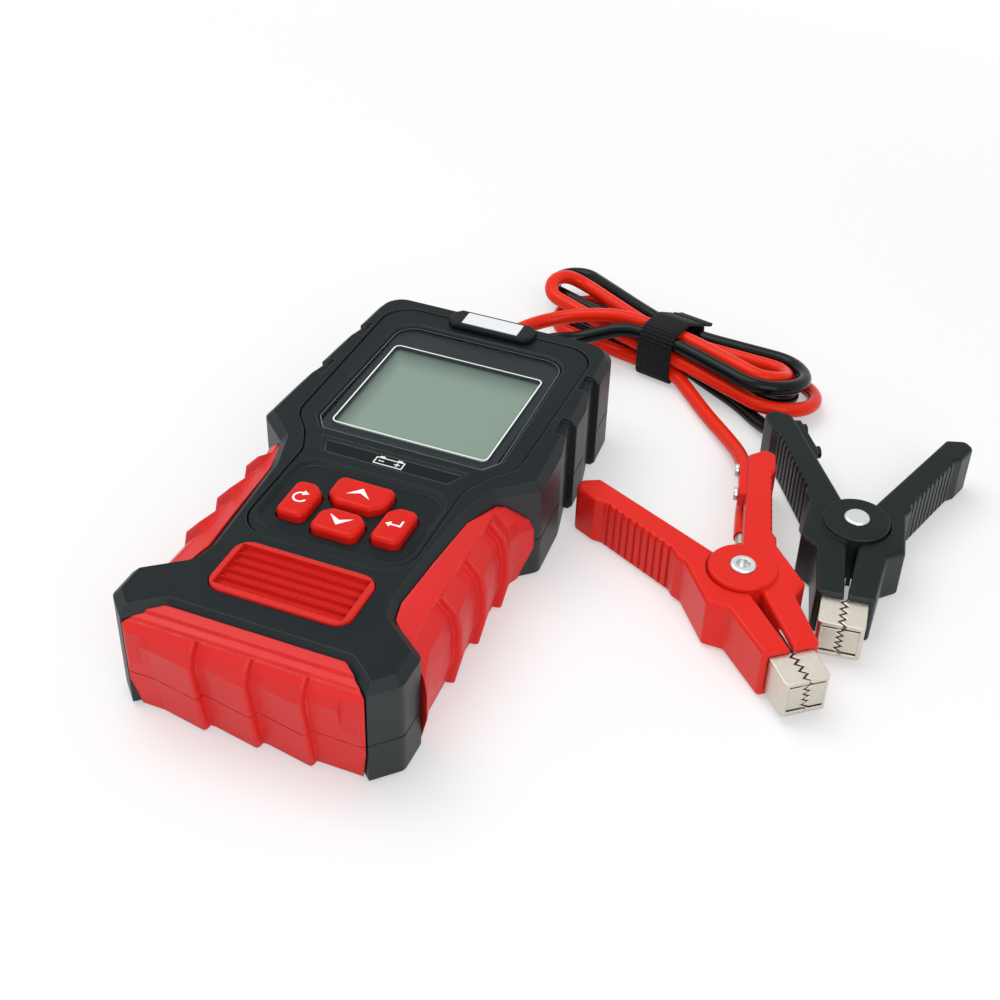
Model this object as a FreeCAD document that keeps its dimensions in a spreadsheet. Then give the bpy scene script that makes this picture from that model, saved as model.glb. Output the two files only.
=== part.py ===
"""Handheld battery tester with two clamp leads, in millimetres.

The tester lies on its back: +Z is up through the screen, +Y points to the
screen end and the origin is the middle of its underside. The leads leave the
screen end, are folded into one hank held by a strap, and end in two clamps.
"""
import FreeCAD
import Part
import Sketcher
import math
import os

SIZES = {
    # Housing
    "body_length": 178.0,
    "body_height": 34.0,
    "split_height": 14.0,
    "shell_wall": 2.4,
    "ceiling": 2.0,
    "seam_bevel": 0.35,
    "top_bevel": 2.3,
    "foot_bevel": 1.4,
    "head_end_half": 40.6,
    "head_corner_radius": 9.0,
    "head_low_half": 45.0,
    "head_low_y": 10.5,
    "neck_half": 34.5,
    "neck_y": 1.0,
    "waist_high_half": 30.8,
    "waist_high_y": -12.0,
    "waist_low_half": 28.6,
    "waist_low_rise": 39.0,
    "tail_neck_half": 30.0,
    "tail_neck_rise": 32.5,
    "tail_half": 42.0,
    "tail_high_rise": 23.0,
    "tail_low_rise": 12.0,
    "horn_half": 35.2,
    "horn_rise": 5.0,
    "seat_half": 26.2,
    "seat_rise": 12.8,
    "seat_radius": 2.5,
    "corner_radius": 3.0,
    # Stepped plates on the sides of the head
    "first_step": 20.2,
    "step_pitch": 24.6,
    "step_depth": 2.6,
    "step_ramp": 15.0,
    "notch_width": 4.8,
    "notch_length": 8.4,
    "notch_depth": 1.2,
    # Front panel, lens and display
    "panel_thickness": 3.0,
    "panel_gap": 0.35,
    "panel_drop": 0.2,
    "panel_border": 4.9,
    "panel_head_border": 6.8,
    "panel_shoulder": 4.2,
    "panel_kink_border": 5.0,
    "panel_kink_drop": 7.5,
    "panel_waist_border": 5.4,
    "panel_neck_drop": 8.7,
    "panel_foot": 5.0,
    "panel_corner": 10.0,
    "panel_edge": 0.5,
    "lens_border": 7.0,
    "lens_low_border": 5.9,
    "lens_head_border": 8.5,
    "lens_shoulder_rise": 1.3,
    "lens_foot": 3.6,
    "lens_cut": 3.6,
    "lens_corner": 7.0,
    "lens_thickness": 1.3,
    "lens_drop": 1.0,
    "lens_gap": 0.15,
    "display_border": 2.1,
    "display_head_border": 10.4,
    "display_foot": 3.3,
    "display_gap": 0.4,
    "title_border": 2.9,
    "title_taper": 2.5,
    "title_drop": 4.6,
    "title_height": 6.0,
    "title_depth": 0.8,
    "keypad_border": 2.8,
    "keypad_drop": 6.0,
    "keypad_foot": 2.5,
    "keypad_depth": 1.3,
    "keypad_corner": 6.0,
    "recess_bevel": 0.7,
    "keypad_bevel": 1.6,
    # Keys and their switches
    "key_rise": 2.7,
    "key_skirt": 4.2,
    "key_gap": 0.35,
    "key_round": 1.5,
    "key_corner": 2.6,
    "side_key_space": 1.0,
    "side_key_half": 4.5,
    "side_key_drop": 6.6,
    "side_key_length": 15.4,
    "side_key_cut": 3.0,
    "up_key_half": 9.0,
    "up_key_drop": 4.0,
    "up_key_length": 11.5,
    "up_key_cut": 3.6,
    "down_key_half": 7.1,
    "key_space": 2.5,
    "down_key_length": 10.5,
    "down_key_cut": 2.8,
    "stem_radius": 1.6,
    "stem_gap": 0.08,
    "stem_reach": 2.4,
    "key_travel": 0.8,
    "switch_width": 6.2,
    "switch_height": 3.8,
    # Ribbed inlay below the keypad
    "inlay_half": 21.0,
    "inlay_drop": 4.0,
    "inlay_rise_from_tail": 22.2,
    "inlay_corner": 5.0,
    "inlay_depth": 2.0,
    "inlay_rise": 0.7,
    "inlay_gap": 0.25,
    "inlay_rim": 2.0,
    "slat_count": 5.0,
    "slat_depth": 1.9,
    # Label tab over the top edge
    "tab_half": 14.5,
    "tab_length": 9.4,
    "tab_setback": 3.0,
    "tab_height": 2.0,
    "tab_cut": 2.2,
    "label_half": 9.6,
    "label_length": 6.4,
    "label_thickness": 0.4,
    "label_rise": 0.15,
    # Red side grips
    "grip_gap": 0.2,
    "grip_foot": 0.8,
    "grip_top": 32.4,
    "grip_bevel_half": 35.4,
    "grip_bevel_z": 29.6,
    "grip_shoulder_half": 39.2,
    "grip_shoulder_z": 25.4,
    "grip_side_half": 40.2,
    "grip_side_z": 20.5,
    "grip_belly_z": 11.0,
    "grip_foot_half": 38.0,
    "grip_head_flare": 3.0,
    "grip_tail_flare": 1.6,
    "grip_dome": 9.0,
    "rib_height": 2.3,
    "rib_first_y": -8.6,
    "rib_pitch": 16.9,
    "rib_ramp": 13.5,
    "rib_edge": 0.45,
    "shingle_lip": 0.25,
    # Red bumper at the tail
    "bumper_gap": 0.25,
    "bumper_top": 33.3,
    "bumper_foot": 0.8,
    "bumper_split_gap": 0.15,
    "bumper_rim": 3.4,
    "bumper_rim_step": 0.6,
    "bumper_strip_z": 32.3,
    "bumper_strip": 1.8,
    "bumper_shoulder_z": 29.2,
    "bumper_shoulder_drop": 3.0,
    "bumper_lean": 4.0,
    "bumper_side_inset": 1.8,
    "bumper_side_drop": 1.4,
    "bumper_flat_outset": 2.3,
    "bumper_flat_rise": 0.9,
    "plate_step": 2.3,
    "plate_first_x": -12.2,
    "plate_pitch": 15.8,
    "plate_edge": 0.45,
    # Inside
    "board_thickness": 1.6,
    "board_gap": 0.6,
    "board_setback": 9.0,
    "board_shoulder": 4.5,
    "board_neck_inset": 8.1,
    "board_foot": 5.2,
    "board_drop": 5.4,
    "boss_radius": 3.4,
    "pilot_radius": 1.5,
    "screw_radius": 1.42,
    "screw_head_radius": 2.8,
    "screw_head_height": 2.0,
    "screw_length": 17.0,
    "post_radius": 4.4,
    "counterbore_depth": 7.0,
    "counterbore_gap": 0.3,
    "screw_clearance": 0.25,
    "head_screw_inset": 3.7,
    "head_screw_setback": 11.0,
    "tail_screw_inset": 4.0,
    "board_screw_inset": 5.5,
    "board_screw_setback": 6.0,
    "neck_screw_inset": 4.0,
    "neck_screw_rise": 5.0,
    "board_screw_radius": 1.0,
    "board_screw_head": 2.0,
    "board_screw_length": 4.4,
    "board_boss_radius": 2.4,
    "buzzer_radius": 6.0,
    "buzzer_height": 7.5,
    "buzzer_x": -15.0,
    "buzzer_setback": 12.0,
    "resistor_half": 20.0,
    "resistor_width": 10.0,
    "resistor_height": 8.5,
    "resistor_y": 30.0,
    # Lead glands at the screen end
    "gland_x_red": -5.0,
    "gland_x_black": 6.0,
    "gland_neck_radius": 3.9,
    "gland_gap": 0.08,
    "gland_flange_radius": 5.0,
    "gland_flange": 1.8,
    "gland_collar_radius": 4.7,
    "gland_collar": 2.0,
    "gland_tip_radius": 3.2,
    "gland_length": 14.0,
    # Leads, hank and strap
    "cord_diameter": 5.0,
    "hank_x": 46.0,
    "hank_y": 135.5,
    "hank_angle": -12.0,
    "strap_width": 13.0,
    "strap_thickness": 1.3,
    "strap_gap": 0.5,
    "strand_pitch": 5.7,
    "strap_floor": 0.2,
    "flap_length": 7.0,
    # Clamps
    "clamp_x_red": 103.8,
    "clamp_y_red": 18.0,
    "clamp_angle_red": -50.8,
    "clamp_x_black": 129.0,
    "clamp_y_black": 52.8,
    "clamp_angle_black": -82.2,
    "arm_foot": 0.5,
    "arm_top": 17.0,
    "arm_slit": 0.5,
    "slit_half": 1.7,
    "slit_middle": 10.5,
    "arm_edge": 1.3,
    "nose_length": 33.5,
    "nose_half": 8.4,
    "nose_root": 14.0,
    "nose_root_half": 10.3,
    "shoulder_front": 10.0,
    "shoulder_half": 15.2,
    "handle_root": 8.0,
    "handle_root_outer": 14.5,
    "handle_root_inner": 4.6,
    "handle_end": 51.0,
    "handle_end_outer": 33.2,
    "handle_end_inner": 24.5,
    "handle_tip_radius": 2.4,
    "handle_recess": 1.2,
    "handle_groove_count": 10.0,
    "handle_groove_depth": 1.9,
    "hub_radius": 10.0,
    "hub_gap": 0.4,
    "hub_split": 8.8,
    "hub_split_gap": 0.15,
    "hub_rise": 1.5,
    "hub_round": 0.8,
    "rivet_radius": 2.5,
    "rivet_gap": 0.08,
    "rivet_head_radius": 3.8,
    "rivet_head": 0.9,
    "rivet_hollow": 2.0,
    "channel_width": 3.9,
    "channel_height": 6.2,
    "channel_z": 6.2,
    "channel_length": 32.0,
    "cable_screw_head": 2.0,
    "cable_screw_radius": 0.9,
    "cable_screw_length": 5.0,
    "cable_screw_z": 13.5,
    "saddle_depth": 2.2,
    "saddle_low": 11.2,
    "saddle_high": 15.8,
    "jaw_back": 24.0,
    "jaw_front": 44.6,
    "jaw_half": 6.6,
    "jaw_low": 3.2,
    "jaw_high": 15.0,
    "jaw_metal": 1.3,
    "jaw_gap": 0.15,
    "tooth_gap": 1.0,
    "jaw_slot": 0.7,
    "jaw_round": 1.2,
    "tooth_depth": 1.8,
    "tooth_count": 4.0,
}


class Size:
    """A length with the sheet expression that drives it."""

    def __init__(self, value, text):
        self.value = float(value)
        self.text = text

    def __add__(self, other):
        other = size_of(other)
        return Size(self.value + other.value, "(%s + %s)" % (self.text, other.text))

    def __sub__(self, other):
        other = size_of(other)
        return Size(self.value - other.value, "(%s - %s)" % (self.text, other.text))

    def __mul__(self, other):
        other = size_of(other)
        return Size(self.value * other.value, "(%s * %s)" % (self.text, other.text))

    def __truediv__(self, other):
        other = size_of(other)
        return Size(self.value / other.value, "(%s / %s)" % (self.text, other.text))

    def __neg__(self):
        return Size(-self.value, "(-1 * %s)" % self.text)

    def __radd__(self, other):
        return size_of(other) + self

    def __rsub__(self, other):
        return size_of(other) - self

    def __rmul__(self, other):
        return size_of(other) * self


def size_of(number):
    if isinstance(number, Size):
        return number
    return Size(number, "%.6f" % number)


class Sheet:
    """Every driving dimension by its name."""

    def __init__(self, document, sizes):
        table = document.addObject("Spreadsheet::Sheet", "Sizes")
        for row, (name, value) in enumerate(sizes.items(), 1):
            table.set("A%d" % row, name)
            table.set("B%d" % row, str(value))
            table.setAlias("B%d" % row, name)
            setattr(self, name, Size(value, "Sizes." + name))


doc = FreeCAD.newDocument("battery_tester")
s = Sheet(doc, SIZES)
doc.recompute()

TOLERANCE = 1e-4
parts = []


def bind(item, path, length):
    item.setExpression(path, size_of(length).text)


def new_body(name, x=None, y=None, angle=None):
    """A body, laid at a place on the floor plan and turned about the vertical."""
    body = doc.addObject("PartDesign::Body", name)
    body.Label = name
    parts.append(body)
    if x is not None:
        turn = FreeCAD.Rotation(FreeCAD.Vector(0, 0, 1), angle.value if angle else 0.0)
        body.Placement = FreeCAD.Placement(FreeCAD.Vector(x.value, y.value, 0), turn)
        bind(body, "Placement.Base.x", x)
        bind(body, "Placement.Base.y", y)
    return body


def new_sketch(body, level=0.0, role="XY_Plane"):
    """A sketch on one of the body's own planes, moved along the plane's normal."""
    sketch = body.newObject("Sketcher::SketchObject", body.Label + "_sketch")
    planes = [item for item in body.Origin.OriginFeatures if item.Role == role]
    sketch.AttachmentSupport = [(planes[0], "")]
    sketch.MapMode = "FlatFace"
    bind(sketch, "AttachmentOffset.Base.z", level)
    return sketch


def hold(sketch, geometry, point, place):
    """Ties a point of the sketch to two sizes, measured from the origin."""
    for kind, length in zip(("DistanceX", "DistanceY"), place):
        length = size_of(length)
        index = sketch.addConstraint(
            Sketcher.Constraint(kind, -1, 1, geometry, point, length.value))
        bind(sketch, "Constraints[%d]" % index, length)


def polygon(sketch, points):
    corners = [FreeCAD.Vector(size_of(x).value, size_of(y).value, 0) for x, y in points]
    first = sketch.GeometryCount
    count = len(corners)
    for index in range(count):
        sketch.addGeometry(Part.LineSegment(corners[index], corners[(index + 1) % count]))
    for index in range(count):
        following = first + (index + 1) % count
        sketch.addConstraint(Sketcher.Constraint("Coincident", first + index, 2, following, 1))
    for index, place in enumerate(points):
        hold(sketch, first + index, 1, place)


def circle(sketch, x, y, radius):
    centre = FreeCAD.Vector(size_of(x).value, size_of(y).value, 0)
    radius = size_of(radius)
    geometry = sketch.addGeometry(Part.Circle(centre, FreeCAD.Vector(0, 0, 1), radius.value))
    hold(sketch, geometry, 3, (x, y))
    index = sketch.addConstraint(Sketcher.Constraint("Radius", geometry, radius.value))
    bind(sketch, "Constraints[%d]" % index, radius)


def rectangle(sketch, left, right, low, high):
    polygon(sketch, [(left, low), (right, low), (right, high), (left, high)])


def both_sides(points):
    """Closes a right-hand outline with its mirror image."""
    return points + [(-x, y) for x, y in reversed(points)]


def pad(body, sketch, length, backward=False):
    feature = body.newObject("PartDesign::Pad", body.Label + "_pad")
    feature.Profile = sketch
    feature.Reversed = backward
    bind(feature, "Length", length)
    return settle(body, feature)


def pocket(body, sketch, depth, forward=False):
    """Cuts against the sketch's normal, or along it, and makes sure that it cuts."""
    before = body.Tip.Shape.Volume
    feature = body.newObject("PartDesign::Pocket", body.Label + "_pocket")
    feature.Profile = sketch
    feature.Reversed = forward
    bind(feature, "Length", depth)
    settle(body, feature)
    if feature.Shape.Volume > before - TOLERANCE:
        raise RuntimeError("%s cuts nothing" % feature.Name)
    return feature


def settle(body, feature):
    body.Tip = feature
    doc.recompute()
    if "Invalid" in feature.State or "Error" in feature.State:
        raise RuntimeError("%s failed: %s" % (feature.Name, feature.getStatusString()))
    return feature


def edge_names(shape, test):
    return ["Edge%d" % number for number, edge in enumerate(shape.Edges, 1) if test(edge)]


def upright_at(places):
    """Picks the vertical edges that stand on the given points of the plan."""
    spots = [(size_of(x).value, size_of(y).value) for x, y in places]

    def test(edge):
        ends = [vertex.Point for vertex in edge.Vertexes]
        if len(ends) != 2 or abs(ends[0].z - ends[1].z) < TOLERANCE:
            return False
        return any(all(math.hypot(end.x - x, end.y - y) < 0.01 for end in ends) for x, y in spots)
    return test


def at_level(level, inside=None):
    """Picks the edges that lie in one horizontal plane, and inside a plan box if one is given."""
    height = size_of(level).value

    def test(edge):
        box = edge.BoundBox
        if abs(box.ZMin - height) > 0.01 or abs(box.ZMax - height) > 0.01:
            return False
        if inside is None:
            return True
        left, right, low, high = [size_of(length).value for length in inside]
        return box.XMin > left and box.XMax < right and box.YMin > low and box.YMax < high
    return test


def rim_of_face(shape, level):
    """Picks the outer rim of the largest flat face at a height."""
    height = size_of(level).value
    flat = [face for face in shape.Faces
            if face.BoundBox.ZLength < 0.01 and abs(face.BoundBox.ZMin - height) < 0.01]
    rim = max(flat, key=lambda face: face.Area).OuterWire.Edges

    def test(edge):
        return any(edge.isSame(other) for other in rim)
    return test


def dress(body, kind, length, test):
    """Rounds or bevels the picked edges of the body as it stands."""
    base = body.Tip
    names = edge_names(base.Shape, test)
    if not names:
        raise RuntimeError("%s has no such edge" % body.Label)
    feature = body.newObject("PartDesign::" + kind, body.Label + "_" + kind.lower())
    feature.Base = (base, names)
    bind(feature, "Radius" if kind == "Fillet" else "Size", length)
    return settle(body, feature)


def turned(name, profile, x=None, y=None, role="XZ_Plane"):
    """A piece turned about the vertical from half of its section."""
    body = new_body(name, x, y)
    sketch = new_sketch(body, 0.0, role)
    polygon(sketch, profile)
    feature = body.newObject("PartDesign::Revolution", name + "_turning")
    feature.Profile = sketch
    feature.ReferenceAxis = (sketch, ["V_Axis"])
    feature.Angle = 360.0
    settle(body, feature)
    return body


def group(name, items):
    """Several like solids that share one node."""
    joined = doc.addObject("Part::Compound", name)
    joined.Label = name
    joined.Links = items
    parts.append(joined)
    return joined


def cylinder(name, radius, height, x, y, z):
    item = doc.addObject("Part::Cylinder", name)
    bind(item, "Radius", radius)
    bind(item, "Height", height)
    for axis, length in zip("xyz", (x, y, z)):
        bind(item, "Placement.Base." + axis, length)
    return item


# Places along the tester, from the screen end, the tail end or the piece before
half_length = s.body_length / 2
s.waist_low_y = s.waist_low_rise - half_length
s.tail_neck_y = s.tail_neck_rise - half_length
s.tail_high_y = s.tail_high_rise - half_length
s.tail_low_y = s.tail_low_rise - half_length
s.horn_y = s.horn_rise - half_length
s.seat_y = s.seat_rise - half_length
s.first_step_y = half_length - s.first_step
s.second_step_y = s.first_step_y - s.step_pitch
s.panel_half = s.head_end_half - s.panel_border
s.panel_top_y = half_length - s.panel_head_border
s.panel_shoulder_y = s.head_low_y + s.panel_shoulder
s.panel_kink_half = s.neck_half - s.panel_kink_border
s.panel_kink_y = s.panel_shoulder_y - s.panel_kink_drop
s.panel_neck_half = s.waist_high_half - s.panel_waist_border
s.panel_neck_y = s.panel_kink_y - s.panel_neck_drop
s.lens_top_half = s.panel_half - s.lens_border
s.lens_low_half = s.panel_half - s.lens_low_border
s.lens_cut_half = s.lens_low_half - s.lens_cut
s.lens_top_y = s.panel_top_y - s.lens_head_border
s.lens_shoulder_y = s.panel_shoulder_y + s.lens_shoulder_rise
s.lens_low_y = s.panel_kink_y + s.lens_foot
s.display_half = s.lens_top_half - s.display_border
s.display_top_y = s.lens_top_y - s.display_head_border
s.display_low_y = s.lens_low_y + s.display_foot
s.title_top_half = s.panel_neck_half - s.title_border
s.title_low_half = s.title_top_half - s.title_taper
s.title_top_y = s.lens_low_y - s.title_drop
s.title_low_y = s.title_top_y - s.title_height
s.keypad_half = s.panel_neck_half - s.keypad_border
s.keypad_top_y = s.title_low_y - s.keypad_drop
s.up_key_top_y = s.keypad_top_y - s.up_key_drop
s.up_key_low_y = s.up_key_top_y - s.up_key_length
s.down_key_top_y = s.up_key_low_y - s.key_space
s.down_key_low_y = s.down_key_top_y - s.down_key_length
s.side_key_x = s.up_key_half + s.side_key_space + s.side_key_half
s.side_key_top_y = s.up_key_top_y - s.side_key_drop
s.side_key_low_y = s.side_key_top_y - s.side_key_length
s.keypad_low_y = s.down_key_low_y - s.keypad_foot
s.panel_low_y = s.keypad_low_y - s.panel_foot
s.inlay_top_y = s.panel_low_y - s.inlay_drop
s.inlay_low_y = s.inlay_rise_from_tail - half_length
s.tab_high_y = half_length - s.tab_setback
s.tab_low_y = s.tab_high_y - s.tab_length
s.bumper_side_half = s.horn_half - s.bumper_side_inset
s.bumper_side_y = s.horn_y - s.bumper_side_drop
s.bumper_flat_half = s.seat_half + s.bumper_flat_outset
s.bumper_face_y = s.plate_step + s.shingle_lip - half_length
s.bumper_flat_y = s.bumper_face_y + s.bumper_flat_rise
s.gland_tip_y = half_length + s.gland_length

# Heights that several pieces share
panel_floor = s.body_height - s.panel_thickness
ceiling_z = panel_floor - s.ceiling
board_top = ceiling_z - s.board_drop
board_floor = board_top - s.board_thickness
panel_top = s.body_height - s.panel_drop
lens_floor = panel_top - s.lens_drop - s.lens_thickness
FAR = 60.0


def head_side(y):
    """Half the width of the head at a distance along it."""
    slope = (s.head_low_half - s.head_end_half) / (half_length - s.head_low_y)
    return s.head_end_half + (half_length - y) * slope


def waist_line(gap=0.0):
    """The right-hand edge between head and tail, where the grips sit."""
    return [(s.head_low_half + gap, s.head_low_y - gap), (s.neck_half + gap, s.neck_y - gap),
            (s.waist_high_half + gap, s.waist_high_y), (s.waist_low_half + gap, s.waist_low_y),
            (s.tail_neck_half + gap, s.tail_neck_y + gap), (s.tail_half + gap, s.tail_high_y + gap)]


housing_outline = [(s.head_end_half, half_length)] + waist_line() + [
    (s.tail_half, s.tail_low_y), (s.horn_half, s.horn_y), (s.seat_half, s.seat_y)]
cavity_half = head_side(s.first_step_y) - s.step_depth - s.shell_wall
cavity_outline = [
    (cavity_half, half_length - s.shell_wall),
    (cavity_half, s.head_low_y + s.shell_wall),
    (s.waist_high_half - s.shell_wall, s.waist_high_y),
    (s.waist_low_half - s.shell_wall, s.waist_low_y),
    (s.tail_neck_half, s.tail_high_y + s.shell_wall),
    (s.tail_neck_half, s.seat_y + s.shell_wall)]

# Places inside, from the cavity's walls and the board's edges
s.head_screw_x = cavity_half - s.head_screw_inset
s.head_screw_y = half_length - s.head_screw_setback
s.tail_screw_x = s.tail_neck_half - s.tail_screw_inset
s.tail_screw_y = s.tail_high_y
s.board_half = s.head_screw_x - s.boss_radius - s.board_gap
s.board_top_y = half_length - s.board_setback
s.board_shoulder_y = s.head_low_y - s.board_shoulder
s.board_neck_half = s.waist_low_half - s.board_neck_inset
s.board_low_y = s.panel_low_y - s.board_foot
s.board_screw_x = s.board_half - s.board_screw_inset
s.board_screw_y = s.board_top_y - s.board_screw_setback
s.neck_screw_x = s.board_neck_half - s.neck_screw_inset
s.neck_screw_y = s.board_low_y + s.neck_screw_rise
s.buzzer_y = s.board_top_y - s.buzzer_setback
head_screws = [(s.head_screw_x, s.head_screw_y), (-s.head_screw_x, s.head_screw_y),
               (s.tail_screw_x, s.tail_screw_y), (-s.tail_screw_x, s.tail_screw_y)]
board_screws = [(s.board_screw_x, s.board_screw_y), (-s.board_screw_x, s.board_screw_y),
                (s.neck_screw_x, s.neck_screw_y), (-s.neck_screw_x, s.neck_screw_y)]


def housing_half(name, low, high):
    """One half of the housing as a block with rounded corners."""
    body = new_body(name)
    sketch = new_sketch(body, low)
    polygon(sketch, both_sides(housing_outline))
    pad(body, sketch, high - low)
    corners = [(side * s.head_end_half, half_length) for side in (1, -1)]
    dress(body, "Fillet", s.head_corner_radius, upright_at(corners))
    bends = [(side * x, y) for x, y in housing_outline[1:-2] for side in (1, -1)]
    dress(body, "Fillet", s.corner_radius, upright_at(bends))
    dress(body, "Fillet", s.seat_radius, upright_at([(side * s.seat_half, s.seat_y) for side in (1, -1)]))
    return body


def cut_side_steps(body, top):
    """Cuts the two shingled steps down each side of the head."""
    sketch = new_sketch(body, top + 1)
    for side in (1, -1):
        for step_y in (s.first_step_y, s.second_step_y):
            low_y = step_y - s.step_ramp
            polygon(sketch, [(side * FAR, step_y),
                             (side * (head_side(step_y) - s.step_depth), step_y),
                             (side * head_side(low_y), low_y), (side * FAR, low_y)])
    pocket(body, sketch, s.body_height + 2)


def cut_gland_holes(body):
    sketch = new_sketch(body, -(half_length + 1), "XZ_Plane")
    for x in (s.gland_x_red, s.gland_x_black):
        circle(sketch, x, s.split_height, s.gland_neck_radius + s.gland_gap)
    pocket(body, sketch, s.shell_wall + 4, forward=True)


def front_cover():
    body = housing_half("front_cover", s.split_height, s.body_height)
    dress(body, "Chamfer", s.top_bevel, rim_of_face(body.Tip.Shape, s.body_height))
    dress(body, "Chamfer", s.seam_bevel, rim_of_face(body.Tip.Shape, s.split_height))
    cut_side_steps(body, s.body_height)
    notches = new_sketch(body, s.body_height)
    for side in (1, -1):
        for step_y in (s.first_step_y, s.second_step_y):
            inner = head_side(step_y) - s.notch_width
            polygon(notches, [(side * inner, step_y), (side * FAR, step_y),
                              (side * FAR, step_y - s.notch_length),
                              (side * inner, step_y - s.notch_length)])
    pocket(body, notches, s.notch_depth)
    cavity = new_sketch(body, s.split_height)
    polygon(cavity, both_sides(cavity_outline))
    pocket(body, cavity, ceiling_z - s.split_height, forward=True)
    bosses = new_sketch(body, s.split_height)
    for x, y in head_screws:
        circle(bosses, x, y, s.boss_radius)
    pad(body, bosses, ceiling_z - s.split_height + s.ceiling / 2)
    stands = new_sketch(body, board_top)
    for x, y in board_screws:
        circle(stands, x, y, s.board_boss_radius)
    pad(body, stands, ceiling_z - board_top + s.ceiling / 2)
    pilots = new_sketch(body, s.split_height)
    for x, y in head_screws:
        circle(pilots, x, y, s.pilot_radius)
    pocket(body, pilots, s.screw_length + s.counterbore_depth - s.split_height + 1, forward=True)
    board_pilots = new_sketch(body, board_top)
    for x, y in board_screws:
        circle(board_pilots, x, y, s.board_screw_radius + s.screw_clearance / 4)
    pocket(body, board_pilots, s.board_screw_length, forward=True)
    seat = new_sketch(body, s.body_height)
    polygon(seat, both_sides(panel_outline(s.panel_gap)))
    pocket(body, seat, s.panel_thickness)
    corners = [(side * x, y) for x, y in panel_outline(s.panel_gap) for side in (1, -1)]
    dress(body, "Fillet", s.panel_corner, upright_at(corners))
    windows = new_sketch(body, panel_floor)
    reach = s.display_half + s.display_gap
    rectangle(windows, -reach, reach, s.display_low_y - s.display_gap,
              s.display_top_y + s.display_gap)
    keypad_reach = s.side_key_x + s.side_key_half + 2 * s.key_gap
    rectangle(windows, -keypad_reach, keypad_reach, s.down_key_low_y - 2 * s.key_gap,
              s.up_key_top_y + 2 * s.key_gap)
    pocket(body, windows, s.ceiling + 1)
    bed = new_sketch(body, s.body_height)
    rectangle(bed, -(s.inlay_half + s.inlay_gap), s.inlay_half + s.inlay_gap,
              s.inlay_low_y - s.inlay_gap, s.inlay_top_y + s.inlay_gap)
    pocket(body, bed, s.inlay_depth)
    bed_corners = [(side * (s.inlay_half + s.inlay_gap), y) for side in (1, -1)
                   for y in (s.inlay_low_y - s.inlay_gap, s.inlay_top_y + s.inlay_gap)]
    dress(body, "Fillet", s.inlay_corner, upright_at(bed_corners))
    cut_gland_holes(body)


def rear_cover():
    body = housing_half("rear_cover", size_of(0.0), s.split_height)
    dress(body, "Chamfer", s.foot_bevel, rim_of_face(body.Tip.Shape, 0.0))
    dress(body, "Chamfer", s.seam_bevel, rim_of_face(body.Tip.Shape, s.split_height))
    cut_side_steps(body, s.body_height)
    cavity = new_sketch(body, s.split_height)
    polygon(cavity, both_sides(cavity_outline))
    pocket(body, cavity, s.split_height - s.shell_wall)
    posts = new_sketch(body, s.shell_wall / 2)
    for x, y in head_screws:
        circle(posts, x, y, s.post_radius)
    pad(body, posts, s.split_height - s.shell_wall / 2)
    sinks = new_sketch(body, 0.0)
    for x, y in head_screws:
        circle(sinks, x, y, s.screw_head_radius + s.counterbore_gap)
    pocket(body, sinks, s.counterbore_depth, forward=True)
    holes = new_sketch(body, 0.0)
    for x, y in head_screws:
        circle(holes, x, y, s.screw_radius + s.screw_clearance)
    pocket(body, holes, s.split_height + 1, forward=True)
    cut_gland_holes(body)


def panel_outline(gap=0.0):
    return [(s.panel_half + gap, s.panel_top_y + gap),
            (s.panel_half + gap, s.panel_shoulder_y - gap / 2),
            (s.panel_kink_half + gap, s.panel_kink_y - gap / 2),
            (s.panel_neck_half + gap, s.panel_neck_y), (s.panel_neck_half + gap, s.panel_low_y - gap)]


def lens_outline(gap=0.0):
    return [(s.lens_top_half + gap, s.lens_top_y + gap),
            (s.lens_low_half + gap, s.lens_shoulder_y - gap / 2),
            (s.lens_cut_half + gap / 2, s.lens_low_y - gap)]


def side_key_outline(side, gap=0.0):
    """An upright key beside the middle pair, with one corner cut to clear the upper key."""
    inner = s.side_key_x - s.side_key_half - gap
    outer = s.side_key_x + s.side_key_half + gap
    return [(side * outer, s.side_key_low_y - gap), (side * outer, s.side_key_top_y + gap),
            (side * (inner + s.side_key_cut), s.side_key_top_y + gap),
            (side * inner, s.side_key_top_y + gap - s.side_key_cut), (side * inner, s.side_key_low_y - gap)]


def up_key_outline(gap=0.0):
    return both_sides([(s.up_key_half + gap, s.up_key_top_y + gap),
                       (s.up_key_half + gap, s.up_key_low_y - gap + s.up_key_cut),
                       (s.up_key_half + gap - s.up_key_cut, s.up_key_low_y - gap)])


def down_key_outline(gap=0.0):
    return both_sides([(s.down_key_half + gap - s.down_key_cut, s.down_key_top_y + gap),
                       (s.down_key_half + gap, s.down_key_top_y + gap - s.down_key_cut),
                       (s.down_key_half + gap, s.down_key_low_y - gap)])


KEYS = {
    "reset_key": (lambda gap: side_key_outline(-1, gap), -s.side_key_x,
                  (s.side_key_top_y + s.side_key_low_y) / 2),
    "enter_key": (lambda gap: side_key_outline(1, gap), s.side_key_x,
                  (s.side_key_top_y + s.side_key_low_y) / 2),
    "up_key": (up_key_outline, size_of(0.0), (s.up_key_top_y + s.up_key_low_y) / 2),
    "down_key": (down_key_outline, size_of(0.0), (s.down_key_top_y + s.down_key_low_y) / 2),
}


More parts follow.
